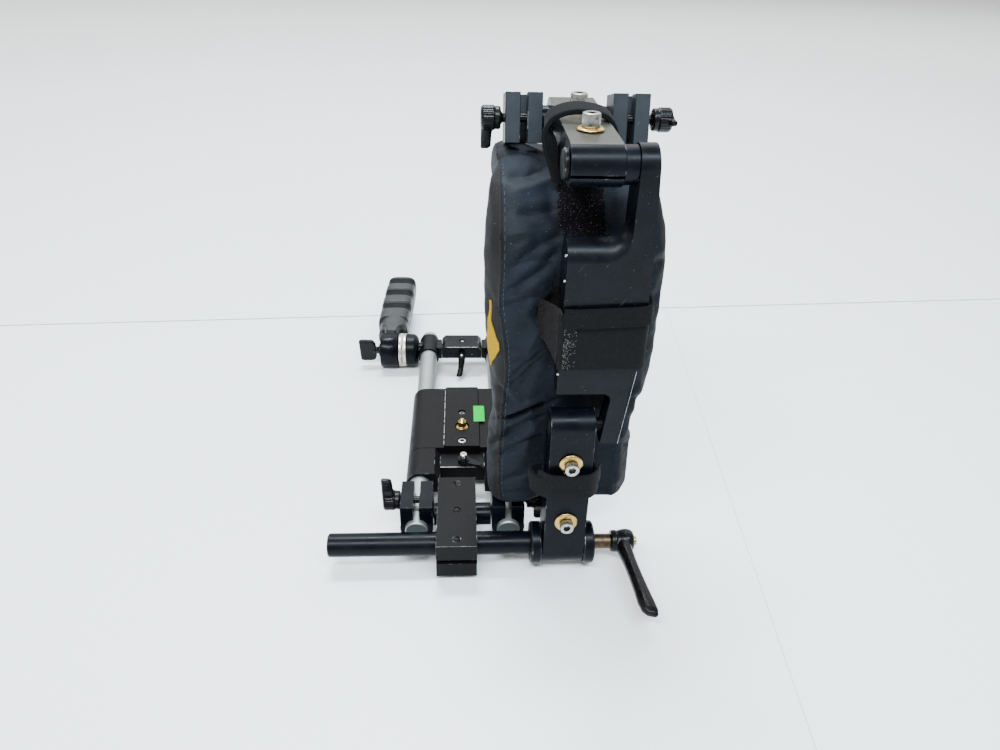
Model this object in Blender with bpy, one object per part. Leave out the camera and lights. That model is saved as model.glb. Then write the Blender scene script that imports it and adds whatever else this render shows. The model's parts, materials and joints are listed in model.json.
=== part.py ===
"""Shoulder-mount cinema camera rig on two 15 mm rods.

Lengths are in millimetres in the rig's own coordinates: X to the right, Y away from
the operator's chest bar towards the handgrip, Z up, with zero on the axis of the
crosswise offset tube, midway between the two rods. RIG_ORIGIN moves that point into
the part's frame, whose origin is the bottom centre of the whole object.
"""
import math

import bmesh
import bpy
from mathutils import Matrix, Vector

MM = 0.001
# The whole object's reach in X and Y, and how far its grip hangs below the tube axis
REACH_X = (-93.8, 118.95)
REACH_Y = (-60.0, 356.192)
LOWEST = -15.5
RIG_ORIGIN = Vector((-sum(REACH_X) / 2, -sum(REACH_Y) / 2, -LOWEST))

# Rods and running fits
ROD_RADIUS = 7.5
ROD_SPACING = 60.0
ROD_START = 11.0
ROD_END = 272.0
BORE_RADIUS = 7.8
END_CHAMFER = 0.8
GAP = 0.3

# Dual rod clamp bracket, used twice
CLAMP_RADIUS = 10.8
CLAMP_HALF_WIDTH = 10.4
CLAMP_LENGTH = 27.0
EAR_HEIGHT = 17.6
SLIT_HALF = 2.0
CLAMP_SCREW_OFFSET = 12.9
FRONT_BRACKET_Y = 27.5
KNOB_RADIUS = 6.5
KNOB_LENGTH = 12.0
WING_REACH = 17.0

# Offset block and tube
BLOCK_X = (-16.5, 9.0)
BLOCK_Y = (-16.0, 50.0)
BLOCK_Z = (-12.5, 13.0)
BLOCK_HOLES_Y = (-9.8, 17.2, 43.4)
TAPPED_RADIUS = 2.6
TUBE_START = -85.0
TUBE_END = 75.4
COLLAR_RADIUS = 13.5

# Ratchet lever on the tube's right end
LEVER_HUB_X = (95.4, 110.8)
LEVER_LENGTH = 60.0

# Brace links: hub round the tube, head round the hinge pin
LINK_X = (50.4, 75.9)
LINK_LENGTH = 93.0
HUB_RADIUS = 12.0
HEAD_RADIUS = 10.4
LINK_SCREWS = (28.0, 72.0)
PIN_RADIUS = 3.2
LOWER_PIVOT = (0.0, LINK_LENGTH)
UPPER_PIVOT = (0.0, 243.0)
TOP_HUB = (LINK_LENGTH, UPPER_PIVOT[1])
TOP_LEAN = math.radians(-14.0)

# Middle link
MID_LEFT = 52.0
MID_RIGHT = 95.5
LEG_X = (79.3, 88.5)
LEG_BOTTOM = 84.0
NOTCH_TOP = 118.0
NOTCH_RIGHT = 82.5
SHOULDER_Z = 172.0
BLOCK_TOP_Z = 207.0
ARM_LEFT = 83.0
ARM_RIGHT = ((MID_RIGHT, 170.0), (94.6, 212.0), (92.6, 238.0), (91.6, 256.0))
CORNER_RADIUS = 11.0
PLATE_HALF = 7.0

# Shoulder pad, three hinged segments
PAD_LOWER_X = (17.0, 103.0)
PAD_MIDDLE_X = (15.0, 109.0)
PAD_UPPER_X = (18.5, 104.5)
PAD_BACK = 43.0
PAD_FRONT = 15.5
PAD_BOTTOM = 22.0
PAD_TOP = 226.5
PAD_END = 112.0
PAD_THICKNESS = 30.0
FOLD_DEG = 14.0

# Camera base plate and its lock
PLATE_Y = (88.0, 168.0)
LOCK_Y = (58.0, 87.5)
LOCK_DECK = (70.7, 5.0)
LOCK_CENTRE = (1.0, 76.0)
SLEEVE_RADIUS = 9.7
PLATE_TOP = 9.7
PLATE_CREST = 11.2
PLATE_SCREWS_Y = (95.0, 113.5, 132.0)

# Rear bracket and handgrip
REAR_Y = (236.0, 264.0)
REAR_RADIUS = 9.2
ACCESSORY_X = (-18.0, 18.0)
ACCESSORY_Z = (-1.5, 10.0)
GRIP_AXIS_Y = 250.0
BOSS_X = (-50.2, -39.6)
RING_X = (-57.9, -50.5)
GRIP_RADIUS = -LOWEST
GRIP_X = (-74.0, -58.3)
GRIP_CENTRE_X = -66.3
GRIP_SPLAY = 0.061
GRIP_TILT = math.radians(8.0)
GRIP_LENGTH = 106.0

ROD_X = (-ROD_SPACING / 2, ROD_SPACING / 2)
LINK_MID_X = sum(LINK_X) / 2
TOP_MID_X = LINK_MID_X + 1.8
FINE = 28
COARSE = 12

# Colour, metallic, roughness of each material
PALETTE = {
    "black_anodised": ((0.016, 0.020, 0.027), 0.9, 0.38),
    "charcoal_anodised": ((0.030, 0.028, 0.028), 0.8, 0.45),
    "clear_anodised": ((0.52, 0.53, 0.54), 0.9, 0.35),
    "brass": ((0.62, 0.45, 0.16), 1.0, 0.28),
    "bright_steel": ((0.62, 0.62, 0.60), 1.0, 0.22),
    "black_oxide": ((0.020, 0.020, 0.022), 0.8, 0.35),
    "moulded_plastic": ((0.017, 0.018, 0.020), 0.0, 0.42),
    "grip_rubber": ((0.045, 0.047, 0.052), 0.0, 0.62),
    "nylon": ((0.014, 0.018, 0.026), 0.0, 0.55),
    "hook_and_loop": ((0.012, 0.012, 0.014), 0.0, 0.9),
}


# ---------------------------------------------------------------- scene helpers

def clear_scene():
    for obj in list(bpy.data.objects):
        bpy.data.objects.remove(obj, do_unlink=True)


def make_material(name):
    material = bpy.data.materials.get(name)
    if material:
        return material
    colour, metallic, roughness = PALETTE[name]
    material = bpy.data.materials.new(name)
    material.use_nodes = True
    shader = material.node_tree.nodes["Principled BSDF"]
    shader.inputs["Base Color"].default_value = (*colour, 1.0)
    shader.inputs["Metallic"].default_value = metallic
    shader.inputs["Roughness"].default_value = roughness
    material.diffuse_color = (*colour, 1.0)
    return material


def place(name, bm, pivot):
    """Store a rig-coordinate mesh as an object whose origin is the pivot."""
    bmesh.ops.recalc_face_normals(bm, faces=bm.faces)
    bmesh.ops.translate(bm, vec=-Vector(pivot), verts=bm.verts)
    bmesh.ops.scale(bm, vec=(MM, MM, MM), verts=bm.verts)
    mesh = bpy.data.meshes.new(name)
    bm.to_mesh(mesh)
    bm.free()
    obj = bpy.data.objects.new(name, mesh)
    obj.location = (Vector(pivot) + RIG_ORIGIN) * MM
    bpy.context.scene.collection.objects.link(obj)
    return obj


def piece(name, bm, material, pivot=(0.0, 0.0, 0.0)):
    obj = place(name, bm, pivot)
    obj.data.materials.append(make_material(material))
    obj.data.shade_smooth()
    obj.data.set_sharp_from_angle(angle=math.radians(35.0))
    return obj


def tool(target, bm, operation):
    name = f"tool_{target.name}_{len(target.modifiers)}"
    cutter = place(name, bm, (0.0, 0.0, 0.0))
    cutter.display_type = "WIRE"
    cutter.hide_render = True
    modifier = target.modifiers.new(operation.lower(), "BOOLEAN")
    modifier.operation = operation
    modifier.object = cutter
    modifier.solver = "EXACT"


def subtract(target, bm):
    tool(target, bm, "DIFFERENCE")


def unite(target, bm):
    tool(target, bm, "UNION")


# ---------------------------------------------------------------- shape helpers

AXES = {"X": (1, 2, 0), "Y": (0, 2, 1), "Z": (0, 1, 2)}


def to_point(axis, u, v, w):
    """u and v are the two coordinates across the axis, in X, Y, Z order; w is along it."""
    point = [0.0, 0.0, 0.0]
    for index, value in zip(AXES[axis], (u, v, w)):
        point[index] = value
    return point


def prism(axis, outline, low, high):
    bm = bmesh.new()
    base = [bm.verts.new(to_point(axis, u, v, low)) for u, v in outline]
    top = [bm.verts.new(to_point(axis, u, v, high)) for u, v in outline]
    bm.faces.new(base)
    bm.faces.new(list(reversed(top)))
    count = len(outline)
    for i in range(count):
        j = (i + 1) % count
        bm.faces.new((base[j], base[i], top[i], top[j]))
    return bm


def block(x, y, z):
    outline = [(x[0], y[0]), (x[1], y[0]), (x[1], y[1]), (x[0], y[1])]
    return prism("Z", outline, z[0], z[1])


def arc(centre, radius, start, end, steps):
    """Points on an arc, angles in degrees measured from u towards v."""
    points = []
    for i in range(steps + 1):
        angle = math.radians(start + (end - start) * i / steps)
        points.append((centre[0] + radius * math.cos(angle), centre[1] + radius * math.sin(angle)))
    return points


def circle(centre, radius, steps=FINE):
    return arc(centre, radius, 0.0, 360.0, steps)[:-1]


def cylinder(axis, centre, radius, low, high, steps=FINE):
    return prism(axis, circle(centre, radius, steps), low, high)


def turned(axis, centre, profile, steps=FINE):
    """Turn (position, radius) pairs about a line; the first and last radius are zero."""
    bm = bmesh.new()
    rings = []
    for position, radius in profile:
        if radius == 0.0:
            rings.append([bm.verts.new(to_point(axis, centre[0], centre[1], position))])
            continue
        ring = circle(centre, radius, steps)
        rings.append([bm.verts.new(to_point(axis, u, v, position)) for u, v in ring])
    for first, second in zip(rings, rings[1:]):
        for i in range(steps):
            j = (i + 1) % steps
            corners = [first[i % len(first)], first[j % len(first)],
                       second[j % len(second)], second[i % len(second)]]
            bm.faces.new(list(dict.fromkeys(corners)))
    return bm


def loft(sections):
    """Join rings of equal point counts and cap both ends."""
    bm = bmesh.new()
    rings = [[bm.verts.new(point) for point in section] for section in sections]
    for first, second in zip(rings, rings[1:]):
        for i in range(len(first)):
            j = (i + 1) % len(first)
            bm.faces.new((first[i], first[j], second[j], second[i]))
    bm.faces.new(list(reversed(rings[0])))
    bm.faces.new(rings[-1])
    return bm


def hexagon(centre, radius):
    return circle(centre, radius, 6)


# ---------------------------------------------------------------- rods and clamps

def bar_profile(low, high):
    inner = ROD_RADIUS - END_CHAMFER
    return [(low, 0.0), (low, inner), (low + END_CHAMFER, ROD_RADIUS),
            (high - END_CHAMFER, ROD_RADIUS), (high, inner), (high, 0.0)]


def make_rods():
    for name, x in zip(("left_rod", "right_rod"), ROD_X):
        profile = bar_profile(ROD_START, ROD_END)
        piece(name, turned("Y", (x, 0.0), profile), "clear_anodised")


def clamp_outline():
    """C-shaped clamp section about its bore, with both ears towards +v."""
    mouth = math.degrees(math.asin(SLIT_HALF / BORE_RADIUS))
    waist = math.degrees(math.acos(CLAMP_HALF_WIDTH / CLAMP_RADIUS))
    outline = [(SLIT_HALF, EAR_HEIGHT), (CLAMP_HALF_WIDTH, EAR_HEIGHT)]
    outline += arc((0.0, 0.0), CLAMP_RADIUS, waist, -180.0 - waist, 18)
    outline += [(-CLAMP_HALF_WIDTH, EAR_HEIGHT), (-SLIT_HALF, EAR_HEIGHT)]
    outline += arc((0.0, 0.0), BORE_RADIUS, 90.0 + mouth, 450.0 - mouth, 20)
    return outline


def upright(bm):
    return bm


def leaned(bm):
    """Turn a top bracket mesh about the crossbar to its resting lean."""
    turn = Matrix.Rotation(TOP_LEAN, 3, "X")
    bmesh.ops.rotate(bm, cent=(0.0, *TOP_HUB), matrix=turn, verts=bm.verts)
    return bm


def leaned_point(y, z):
    point = Matrix.Rotation(TOP_LEAN, 3, "X") @ Vector((0.0, y - TOP_HUB[0], z - TOP_HUB[1]))
    return (point.y + TOP_HUB[0], point.z + TOP_HUB[1])


def make_clamp(name, axis, centre, flip, middle, turn=upright, pivot=(0.0, 0.0, 0.0)):
    """One rod clamp; flip is -1 where the ears point towards -v."""
    outline = [(centre[0] + u, centre[1] + v * flip) for u, v in clamp_outline()]
    half = CLAMP_LENGTH / 2
    body = turn(prism(axis, outline, middle - half, middle + half))
    clamp = piece(name, body, "black_anodised", pivot)
    screw_v = centre[1] + CLAMP_SCREW_OFFSET * flip
    hole_centre = (middle, screw_v) if axis == "Y" else (screw_v, middle)
    hole = cylinder("X", hole_centre, 2.8, centre[0] - 20, centre[0] + 20, COARSE)
    subtract(clamp, turn(hole))


def make_wing_knob(name, bore_x, side, centre, wing):
    """Barrel, wing and screw shank along X; wing is the unit direction of the wing in YZ."""
    face = bore_x + side * (CLAMP_HALF_WIDTH + 1.6)
    end = face + side * KNOB_LENGTH
    inner = bore_x - side * CLAMP_HALF_WIDTH
    profile = [(inner, 0.0), (inner, 2.4), (face - side * 1.2, 2.4), (face - side * 1.2, 4.0),
               (face, 4.0), (face, KNOB_RADIUS - 0.6), (face + side * 0.8, KNOB_RADIUS),
               (end - side * 1.5, KNOB_RADIUS), (end, KNOB_RADIUS - 1.5), (end, 0.0)]
    knob = piece(name, turned("X", centre, profile, 20), "moulded_plastic", (end, *centre))
    wing_x = (min(end, end - side * 7.0), max(end, end - side * 7.0))
    across = (-wing[1], wing[0])
    outline = []
    for along, width in ((3.0, 2.6), (WING_REACH - 2.0, 3.4), (WING_REACH, 2.4)):
        outline.append((along, width))
    outline += [(along, -width) for along, width in reversed(outline)]
    points = [(centre[0] + along * wing[0] + width * across[0],
               centre[1] + along * wing[1] + width * across[1]) for along, width in outline]
    unite(knob, prism("X", points, wing_x[0] + 0.4, wing_x[1] - 0.2))


def make_front_bracket():
    knob_centre = (FRONT_BRACKET_Y, CLAMP_SCREW_OFFSET)
    names = (("front_left_clamp", "front_left_knob"), ("front_right_clamp", "front_right_knob"))
    for (clamp_name, knob_name), x, side in zip(names, ROD_X, (-1, 1)):
        make_clamp(clamp_name, "Y", (x, 0.0), 1, FRONT_BRACKET_Y)
        wing = (0.0, 1.0) if side < 0 else (0.0, -1.0)
        make_wing_knob(knob_name, x, side, knob_centre, wing)
    reach = ROD_SPACING / 2 - CLAMP_HALF_WIDTH - 0.6
    piece("front_crossbar", cylinder("X", (FRONT_BRACKET_Y, 0.0), ROD_RADIUS, -reach, reach),
          "black_anodised")


def make_top_bracket():
    hub_y, hub_z = TOP_HUB
    pivot = (LINK_MID_X, hub_y, hub_z)
    screw = leaned_point(hub_y - CLAMP_SCREW_OFFSET, hub_z)
    names = (("top_left_clamp", "top_left_knob"), ("top_right_clamp", "top_right_knob"))
    for (clamp_name, knob_name), offset, side in zip(names, ROD_X, (-1, 1)):
        bore_x = TOP_MID_X + offset
        make_clamp(clamp_name, "Z", (bore_x, hub_y), -1, hub_z, leaned, pivot)
        wing = (0.0, -1.0) if side < 0 else (-1.0, 0.0)
        make_wing_knob(knob_name, bore_x, side, screw, wing)
    reach = ROD_SPACING / 2 - CLAMP_HALF_WIDTH - 0.6
    bar = cylinder("X", TOP_HUB, ROD_RADIUS, TOP_MID_X - reach, TOP_MID_X + reach)
    piece("top_crossbar", bar, "black_anodised", pivot)


# ---------------------------------------------------------------- offset block and tube

def make_offset_block():
    outline = [(BLOCK_Y[0], BLOCK_Z[0]), (BLOCK_Y[1], BLOCK_Z[0]), (BLOCK_Y[1], BLOCK_Z[1]),
               (BLOCK_Y[0], BLOCK_Z[1])]
    body = piece("offset_block", prism("X", outline, *BLOCK_X), "charcoal_anodised")
    for bore_y in (0.0, FRONT_BRACKET_Y):
        subtract(body, cylinder("X", (bore_y, 0.0), BORE_RADIUS, BLOCK_X[0] - 1, BLOCK_X[1] + 1))
    subtract(body, block((BLOCK_X[0] - 1, BLOCK_X[1] + 1), (BLOCK_Y[0] - 1, 0.0), (-2.0, 1.2)))
    centre_x = sum(BLOCK_X) / 2
    for hole_y in BLOCK_HOLES_Y:
        subtract(body, cylinder("Z", (centre_x, hole_y), TAPPED_RADIUS, BLOCK_Z[1] - 7.5,
                                BLOCK_Z[1] + 1, COARSE))
    subtract(body, cylinder("Z", (centre_x, -11.8), 1.8, BLOCK_Z[0] - 1, 5.0, COARSE))
    subtract(body, cylinder("Z", (centre_x, -11.8), 3.2, BLOCK_Z[0] - 1, -9.0, COARSE))
    make_socket_screw("offset_block_screw", "Z", (centre_x, -11.8), -12.2, 1, 2.9, 2.9, 1.5, 3.8)


def make_socket_screw(name, axis, centre, face, into, head_radius, head, shank, length,
                      material="black_oxide", pivot=None):
    """Cap screw: face is the outer end of the head, into is the sign of its direction."""
    profile = [(face, 0.0), (face, head_radius - 0.5), (face + into * 0.5, head_radius),
               (face + into * head, head_radius), (face + into * head, shank),
               (face + into * (head + length), shank), (face + into * (head + length), 0.0)]
    screw = piece(name, turned(axis, centre, profile, COARSE), material, pivot or (0, 0, 0))
    depth = sorted((face - into, face + into * head * 0.6))
    subtract(screw, prism(axis, hexagon(centre, head_radius * 0.55), *depth))


def make_tube():
    tube = piece("offset_tube", turned("X", (0.0, 0.0), bar_profile(TUBE_START, TUBE_END)),
                 "black_anodised")
    subtract(tube, cylinder("X", (0.0, 0.0), 4.0, TUBE_END - 16, TUBE_END + 1, COARSE))
    hole = cylinder("Z", (31.0, 0.0), 4.4, -9.0, -6.0, COARSE)
    bmesh.ops.rotate(hole, cent=(0, 0, 0), matrix=Matrix.Rotation(math.radians(-38), 3, "X"),
                     verts=hole.verts)
    subtract(tube, hole)


def make_collars():
    inner_end = LINK_X[0] - GAP
    inner = piece("inner_collar", turned("X", (0.0, 0.0), [
        (inner_end - 7.2, 0.0), (inner_end - 7.2, COLLAR_RADIUS - 1.0),
        (inner_end - 6.2, COLLAR_RADIUS), (inner_end - 0.8, COLLAR_RADIUS),
        (inner_end, COLLAR_RADIUS - 0.8), (inner_end, 0.0)]), "black_anodised")
    subtract(inner, cylinder("X", (0.0, 0.0), BORE_RADIUS, inner_end - 9, inner_end + 1))
    start = LINK_X[1] + GAP
    outer = piece("outer_collar", turned("X", (0.0, 0.0), [
        (start, 0.0), (start, COLLAR_RADIUS - 0.8), (start + 0.8, COLLAR_RADIUS),
        (start + 6.2, COLLAR_RADIUS), (start + 7.2, COLLAR_RADIUS - 1.0),
        (start + 7.2, 0.0)]), "black_anodised")
    subtract(outer, cylinder("X", (0.0, 0.0), 4.2, start - 1, start + 9, COARSE))


# ---------------------------------------------------------------- ratchet lever

def make_ratchet_lever():
    stud = [(TUBE_END - 14, 0.0), (TUBE_END - 14, 3.6), (LINK_X[1] + 8.0, 3.6),
            (LINK_X[1] + 8.0, 4.7), (LEVER_HUB_X[0] - GAP, 4.7), (LEVER_HUB_X[0] - GAP, 3.6),
            (LEVER_HUB_X[1] - 5.0, 3.6), (LEVER_HUB_X[1] - 5.0, 0.0)]
    piece("lever_stud", turned("X", (0.0, 0.0), stud, 16), "brass")
    hub = [(LEVER_HUB_X[0], 0.0), (LEVER_HUB_X[0], 6.4), (LEVER_HUB_X[0] + 1, 7.2),
           (LEVER_HUB_X[1] - 4, 7.8), (LEVER_HUB_X[1] - 1.2, 7.0), (LEVER_HUB_X[1], 5.4),
           (LEVER_HUB_X[1], 0.0)]
    lever = piece("ratchet_lever", turned("X", (0.0, 0.0), hub, 20), "moulded_plastic",
                  (LEVER_HUB_X[0], 0.0, 0.0))
    sections = []
    for t in (0.0, 0.12, 0.3, 0.6, 0.86, 0.95, 1.0):
        width = 5.6 - 0.6 * math.sin(math.pi * t) + (1.6 * t * t)
        thick = 5.4 - 2.4 * t
        if t > 0.9:
            width *= 1.0 - 6.0 * (t - 0.9)
        centre = Vector((103.2 + 7.0 * t ** 1.3, -LEVER_LENGTH * t, -1.0 * t))
        ring = circle((0.0, 0.0), 1.0, 12)
        sections.append([centre + Vector((thick * u, 0.0, width * v)) for u, v in ring])
    unite(lever, loft(sections))
    subtract(lever, cylinder("X", (0.0, 0.0), 4.0, LEVER_HUB_X[0] - 1, LEVER_HUB_X[1] - 4.5,
                             COARSE))
    subtract(lever, cylinder("X", (0.0, 0.0), 3.4, LEVER_HUB_X[1] - 4.2, LEVER_HUB_X[1] + 1,
                             COARSE))
    make_socket_screw("lever_screw", "X", (0.0, 0.0), LEVER_HUB_X[1] + 1.6, -1, 3.0, 2.8, 1.8,
                      2.4, "brass", (LEVER_HUB_X[0], 0.0, 0.0))


# ---------------------------------------------------------------- brace links

def link_outline():
    """Side view of a link: hub at the origin, head LINK_LENGTH away along +v."""
    lean = math.degrees(math.asin((HUB_RADIUS - HEAD_RADIUS) / LINK_LENGTH))
    outline = arc((0.0, 0.0), HUB_RADIUS, 180.0 - lean, 360.0 + lean, 14)
    outline += arc((0.0, LINK_LENGTH), HEAD_RADIUS, lean, 180.0 - lean, 13)
    return outline


def link_frame(upper):
    """Map link side-view coordinates (u back, v from hub to head) to rig Y and Z."""
    if upper:
        return lambda u, v: (TOP_HUB[0] - v, TOP_HUB[1] - u)
    return lambda u, v: (u, v)


def make_link(prefix, upper):
    to_rig = link_frame(upper)
    pivot = (LINK_MID_X, *UPPER_PIVOT) if upper else (LINK_MID_X, 0.0, 0.0)
    outline = [to_rig(u, v) for u, v in link_outline()]
    link = piece(f"{prefix}_link", prism("X", outline, *LINK_X), "black_anodised", pivot)
    wide = (LINK_X[0] - 1, LINK_X[1] + 1)
    subtract(link, cylinder("X", to_rig(0.0, 0.0), BORE_RADIUS, *wide))
    subtract(link, cylinder("X", to_rig(0.0, LINK_LENGTH), PIN_RADIUS + 0.3, *wide, COARSE))
    slot_angle = math.radians(70.0)
    along = Vector((math.cos(slot_angle), math.sin(slot_angle)))
    across = Vector((-along.y, along.x)) * 0.9
    corners = [along * 1.0 + across, along * 13.0 + across, along * 13.0 - across,
               along * 1.0 - across]
    slit = [to_rig(c.x, LINK_LENGTH + c.y) for c in corners]
    subtract(link, prism("X", slit, *wide))
    for label, v in zip(("lower", "upper"), LINK_SCREWS):
        make_link_screw(link, prefix, label, to_rig, v, pivot)


def make_link_screw(link, prefix, label, to_rig, v, pivot):
    """Brass washer and cap screw standing on the outer face of a link."""
    half = HUB_RADIUS - (HUB_RADIUS - HEAD_RADIUS) * v / LINK_LENGTH
    seat = to_rig(-half - GAP, v)
    upper = prefix == "top"
    axis, centre = ("Z", (LINK_MID_X, seat[0])) if upper else ("Y", (LINK_MID_X, seat[1]))
    start = seat[1] if upper else seat[0]
    out = 1 if upper else -1
    hole = sorted((start + out, start - out * 13.0))
    subtract(link, cylinder(axis, centre, 2.8, *hole, COARSE))
    washer = piece(f"{prefix}_{label}_washer", turned(axis, centre, [
        (start + out * 0.2, 0.0), (start + out * 0.2, 7.0), (start + out * 0.8, 7.0),
        (start + out * 1.7, 5.4), (start + out * 1.7, 0.0)], 20), "brass", pivot)
    subtract(washer, cylinder(axis, centre, 2.8, *sorted((start - out, start + out * 3.0)),
                              COARSE))
    make_socket_screw(f"{prefix}_{label}_screw", axis, centre, start + out * 8.2, -out, 4.4,
                      6.2, 2.4, 11.0, "bright_steel", pivot)


# ---------------------------------------------------------------- middle link

def corner_section(angle):
    """Slice of the swept inside corner, 0 on the block's crown and 90 on the arm's face."""
    turn = math.radians(angle)
    out = Vector((-math.sin(turn), math.cos(turn)))
    centre = Vector((ARM_LEFT - CORNER_RADIUS, BLOCK_TOP_Z + CORNER_RADIUS))
    rounding = math.cos(turn) ** 2
    depth = 14.0 - 2.6 * angle / 90.0
    slice_points = []
    for i in range(13):
        y = -HEAD_RADIUS * math.cos(math.pi * i / 12)
        drop = (HEAD_RADIUS - math.sqrt(max(HEAD_RADIUS ** 2 - y * y, 0.0))) * rounding
        edge = centre - out * (CORNER_RADIUS + drop)
        slice_points.append((edge.x, y, edge.y))
    bottom = centre - out * (CORNER_RADIUS + depth)
    slice_points.append((bottom.x, HEAD_RADIUS, bottom.y))
    slice_points.append((bottom.x, -HEAD_RADIUS, bottom.y))
    return slice_points


def make_mid_link():
    pivot = (LINK_MID_X, *LOWER_PIVOT)
    plate = [(MID_LEFT, NOTCH_TOP)]
    plate += arc((NOTCH_RIGHT - 4.0, NOTCH_TOP - 4.0), 4.0, 90.0, 0.0, 4)
    plate += [(LEG_X[0], LEG_BOTTOM), (LEG_X[1], LEG_BOTTOM), (MID_RIGHT - 1.0, 136.0),
              (MID_RIGHT - 0.2, SHOULDER_Z + 6.0), (MID_LEFT, SHOULDER_Z + 6.0)]
    link = piece("mid_link", prism("Y", plate, -PLATE_HALF, PLATE_HALF), "black_anodised", pivot)
    crown = BLOCK_TOP_Z - HEAD_RADIUS
    side = [(-HEAD_RADIUS, SHOULDER_Z), (HEAD_RADIUS, SHOULDER_Z)]
    side += arc((0.0, crown), HEAD_RADIUS, 0.0, 180.0, 12)
    unite(link, prism("X", side, MID_LEFT - 0.05, MID_RIGHT + 0.05))
    arm = [(-HEAD_RADIUS, SHOULDER_Z + 4.0), (HEAD_RADIUS, SHOULDER_Z + 4.0)]
    arm += arc(UPPER_PIVOT, HEAD_RADIUS, 0.0, 180.0, 12)
    unite(link, prism("X", arm, ARM_LEFT, MID_RIGHT + 0.1))
    unite(link, loft([corner_section(15.0 * i) for i in range(7)]))
    waste = [*ARM_RIGHT, (MID_RIGHT + 5.0, ARM_RIGHT[-1][1]), (MID_RIGHT + 5.0, ARM_RIGHT[0][1])]
    subtract(link, prism("Y", waste, -HEAD_RADIUS - 1, HEAD_RADIUS + 1))
    for (y, z), start in ((LOWER_PIVOT, LEG_X[0]), (UPPER_PIVOT, ARM_LEFT)):
        subtract(link, cylinder("X", (y, z), PIN_RADIUS + 0.3, start - 1, MID_RIGHT + 2, COARSE))


def make_hinge_pins():
    for name, (y, z), end in (("lower_hinge_pin", LOWER_PIVOT, LEG_X[1] + 1.7),
                              ("upper_hinge_pin", UPPER_PIVOT, ARM_RIGHT[2][0] + 0.6)):
        head = LINK_X[0] - GAP
        profile = [(head - 2.7, 0.0), (head - 2.7, 6.8), (head - 1.9, 7.6), (head, 7.6),
                   (head, PIN_RADIUS), (end, PIN_RADIUS), (end, 0.0)]
        piece(name, turned("X", (y, z), profile, 20), "black_oxide", (LINK_MID_X, y, z))
    y, z = UPPER_PIVOT
    spacer = piece("upper_hinge_spacer", cylinder("X", (y, z), 9.4, LINK_X[1] + GAP,
                                                  ARM_LEFT - GAP), "black_anodised",
                   (LINK_MID_X, y, z))
    subtract(spacer, cylinder("X", (y, z), PIN_RADIUS + 0.3, LINK_X[1], ARM_LEFT + 1, COARSE))


# ---------------------------------------------------------------- pad and straps

def make_strap(name, axis, inner, outer, span, pivot):
    """Closed loop of webbing: inner and outer are opposite corners of its two rectangles."""
    def rectangle(low, high):
        return [(low[0], low[1]), (high[0], low[1]), (high[0], high[1]), (low[0], high[1])]
    strap = piece(name, prism(axis, rectangle(*outer), *span), "hook_and_loop", pivot)
    subtract(strap, prism(axis, rectangle(*inner), span[0] - 1, span[1] + 1))


def make_straps():
    edge = (LINK_X[0] - 0.4, LINK_X[1] + 0.4)
    make_strap("lower_strap", "Z", ((edge[0], -12.1), (edge[1], 12.1)),
               ((edge[0] - 2, -14.0), (edge[1] + 2, 14.0)), (44.0, 56.0), (LINK_MID_X, 0, 0))
    mid = (MID_LEFT - 0.4, MID_RIGHT + 0.4)
    make_strap("main_strap", "Z", ((mid[0], -7.4), (mid[1], 7.4)),
               ((mid[0] - 2.4, -9.8), (mid[1] + 2.4, 9.8)), (136.0, 170.0),
               (LINK_MID_X, *LOWER_PIVOT))
    z = UPPER_PIVOT[1]
    make_strap("top_strap", "Y", ((edge[0], z - 11.9), (edge[1], z + 11.9)),
               ((edge[0] - 2, z - 13.8), (edge[1] + 2, z + 13.8)), (38.0, 50.0),
               (LINK_MID_X, *UPPER_PIVOT))


def make_pads():
    """Three closed segments; wedge gaps at the hinges let the brace fold backwards."""
    fold = math.tan(math.radians(FOLD_DEG))
    lower_top = LOWER_PIVOT[1] - 1.0
    lower = [(PAD_FRONT, PAD_BOTTOM + 3), (PAD_FRONT + 3, PAD_BOTTOM), (PAD_BACK - 8, PAD_BOTTOM),
             (PAD_BACK, PAD_BOTTOM + 8), (PAD_BACK, lower_top), (PAD_FRONT, lower_top)]
    pad = piece("pad_lower", prism("X", lower, *PAD_LOWER_X), "nylon", (LINK_MID_X, 0.0, 0.0))
    lobe = [(8.5, PAD_BOTTOM + 1), (20.0, PAD_BOTTOM + 1), (20.0, lower_top - 2),
            (8.5, lower_top - 2)]
    unite(pad, prism("X", lobe, PAD_LOWER_X[0] + 0.2, LINK_X[0] - 4.0))
    base = LOWER_PIVOT[1] + 0.6
    inner_corner = (PAD_BACK, PAD_TOP - PAD_THICKNESS)
    seam = math.radians(-50.0)
    seam_dir = (math.cos(seam), math.sin(seam))
    middle = [(PAD_FRONT, base + PAD_FRONT * fold), (PAD_BACK, base + PAD_BACK * fold),
              (PAD_BACK, UPPER_PIVOT[1] + PAD_BACK * math.tan(seam)),
              (PAD_FRONT, UPPER_PIVOT[1] + PAD_FRONT * math.tan(seam))]
    pad = piece("pad_middle", prism("X", middle, *PAD_MIDDLE_X), "nylon",
                (LINK_MID_X, *LOWER_PIVOT))
    lobe = [(10.5, base + 8), (20.0, base + 8), (20.0, 205.0), (10.5, 205.0)]
    unite(pad, prism("X", lobe, PAD_MIDDLE_X[0] + 0.2, MID_LEFT - 5.0))
    slope = math.radians(-50.0 + FOLD_DEG)
    start = (PAD_TOP - UPPER_PIVOT[1]) / math.tan(slope)
    low = inner_corner[1]
    upper = [(start, PAD_TOP), (PAD_END - 4, PAD_TOP), (PAD_END, PAD_TOP - 6),
             (PAD_END, low + 8), (PAD_END - 6, low), ((low - UPPER_PIVOT[1]) / math.tan(slope), low)]
    piece("pad_upper", prism("X", upper, *PAD_UPPER_X), "nylon",
          (LINK_MID_X, *UPPER_PIVOT))


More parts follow.
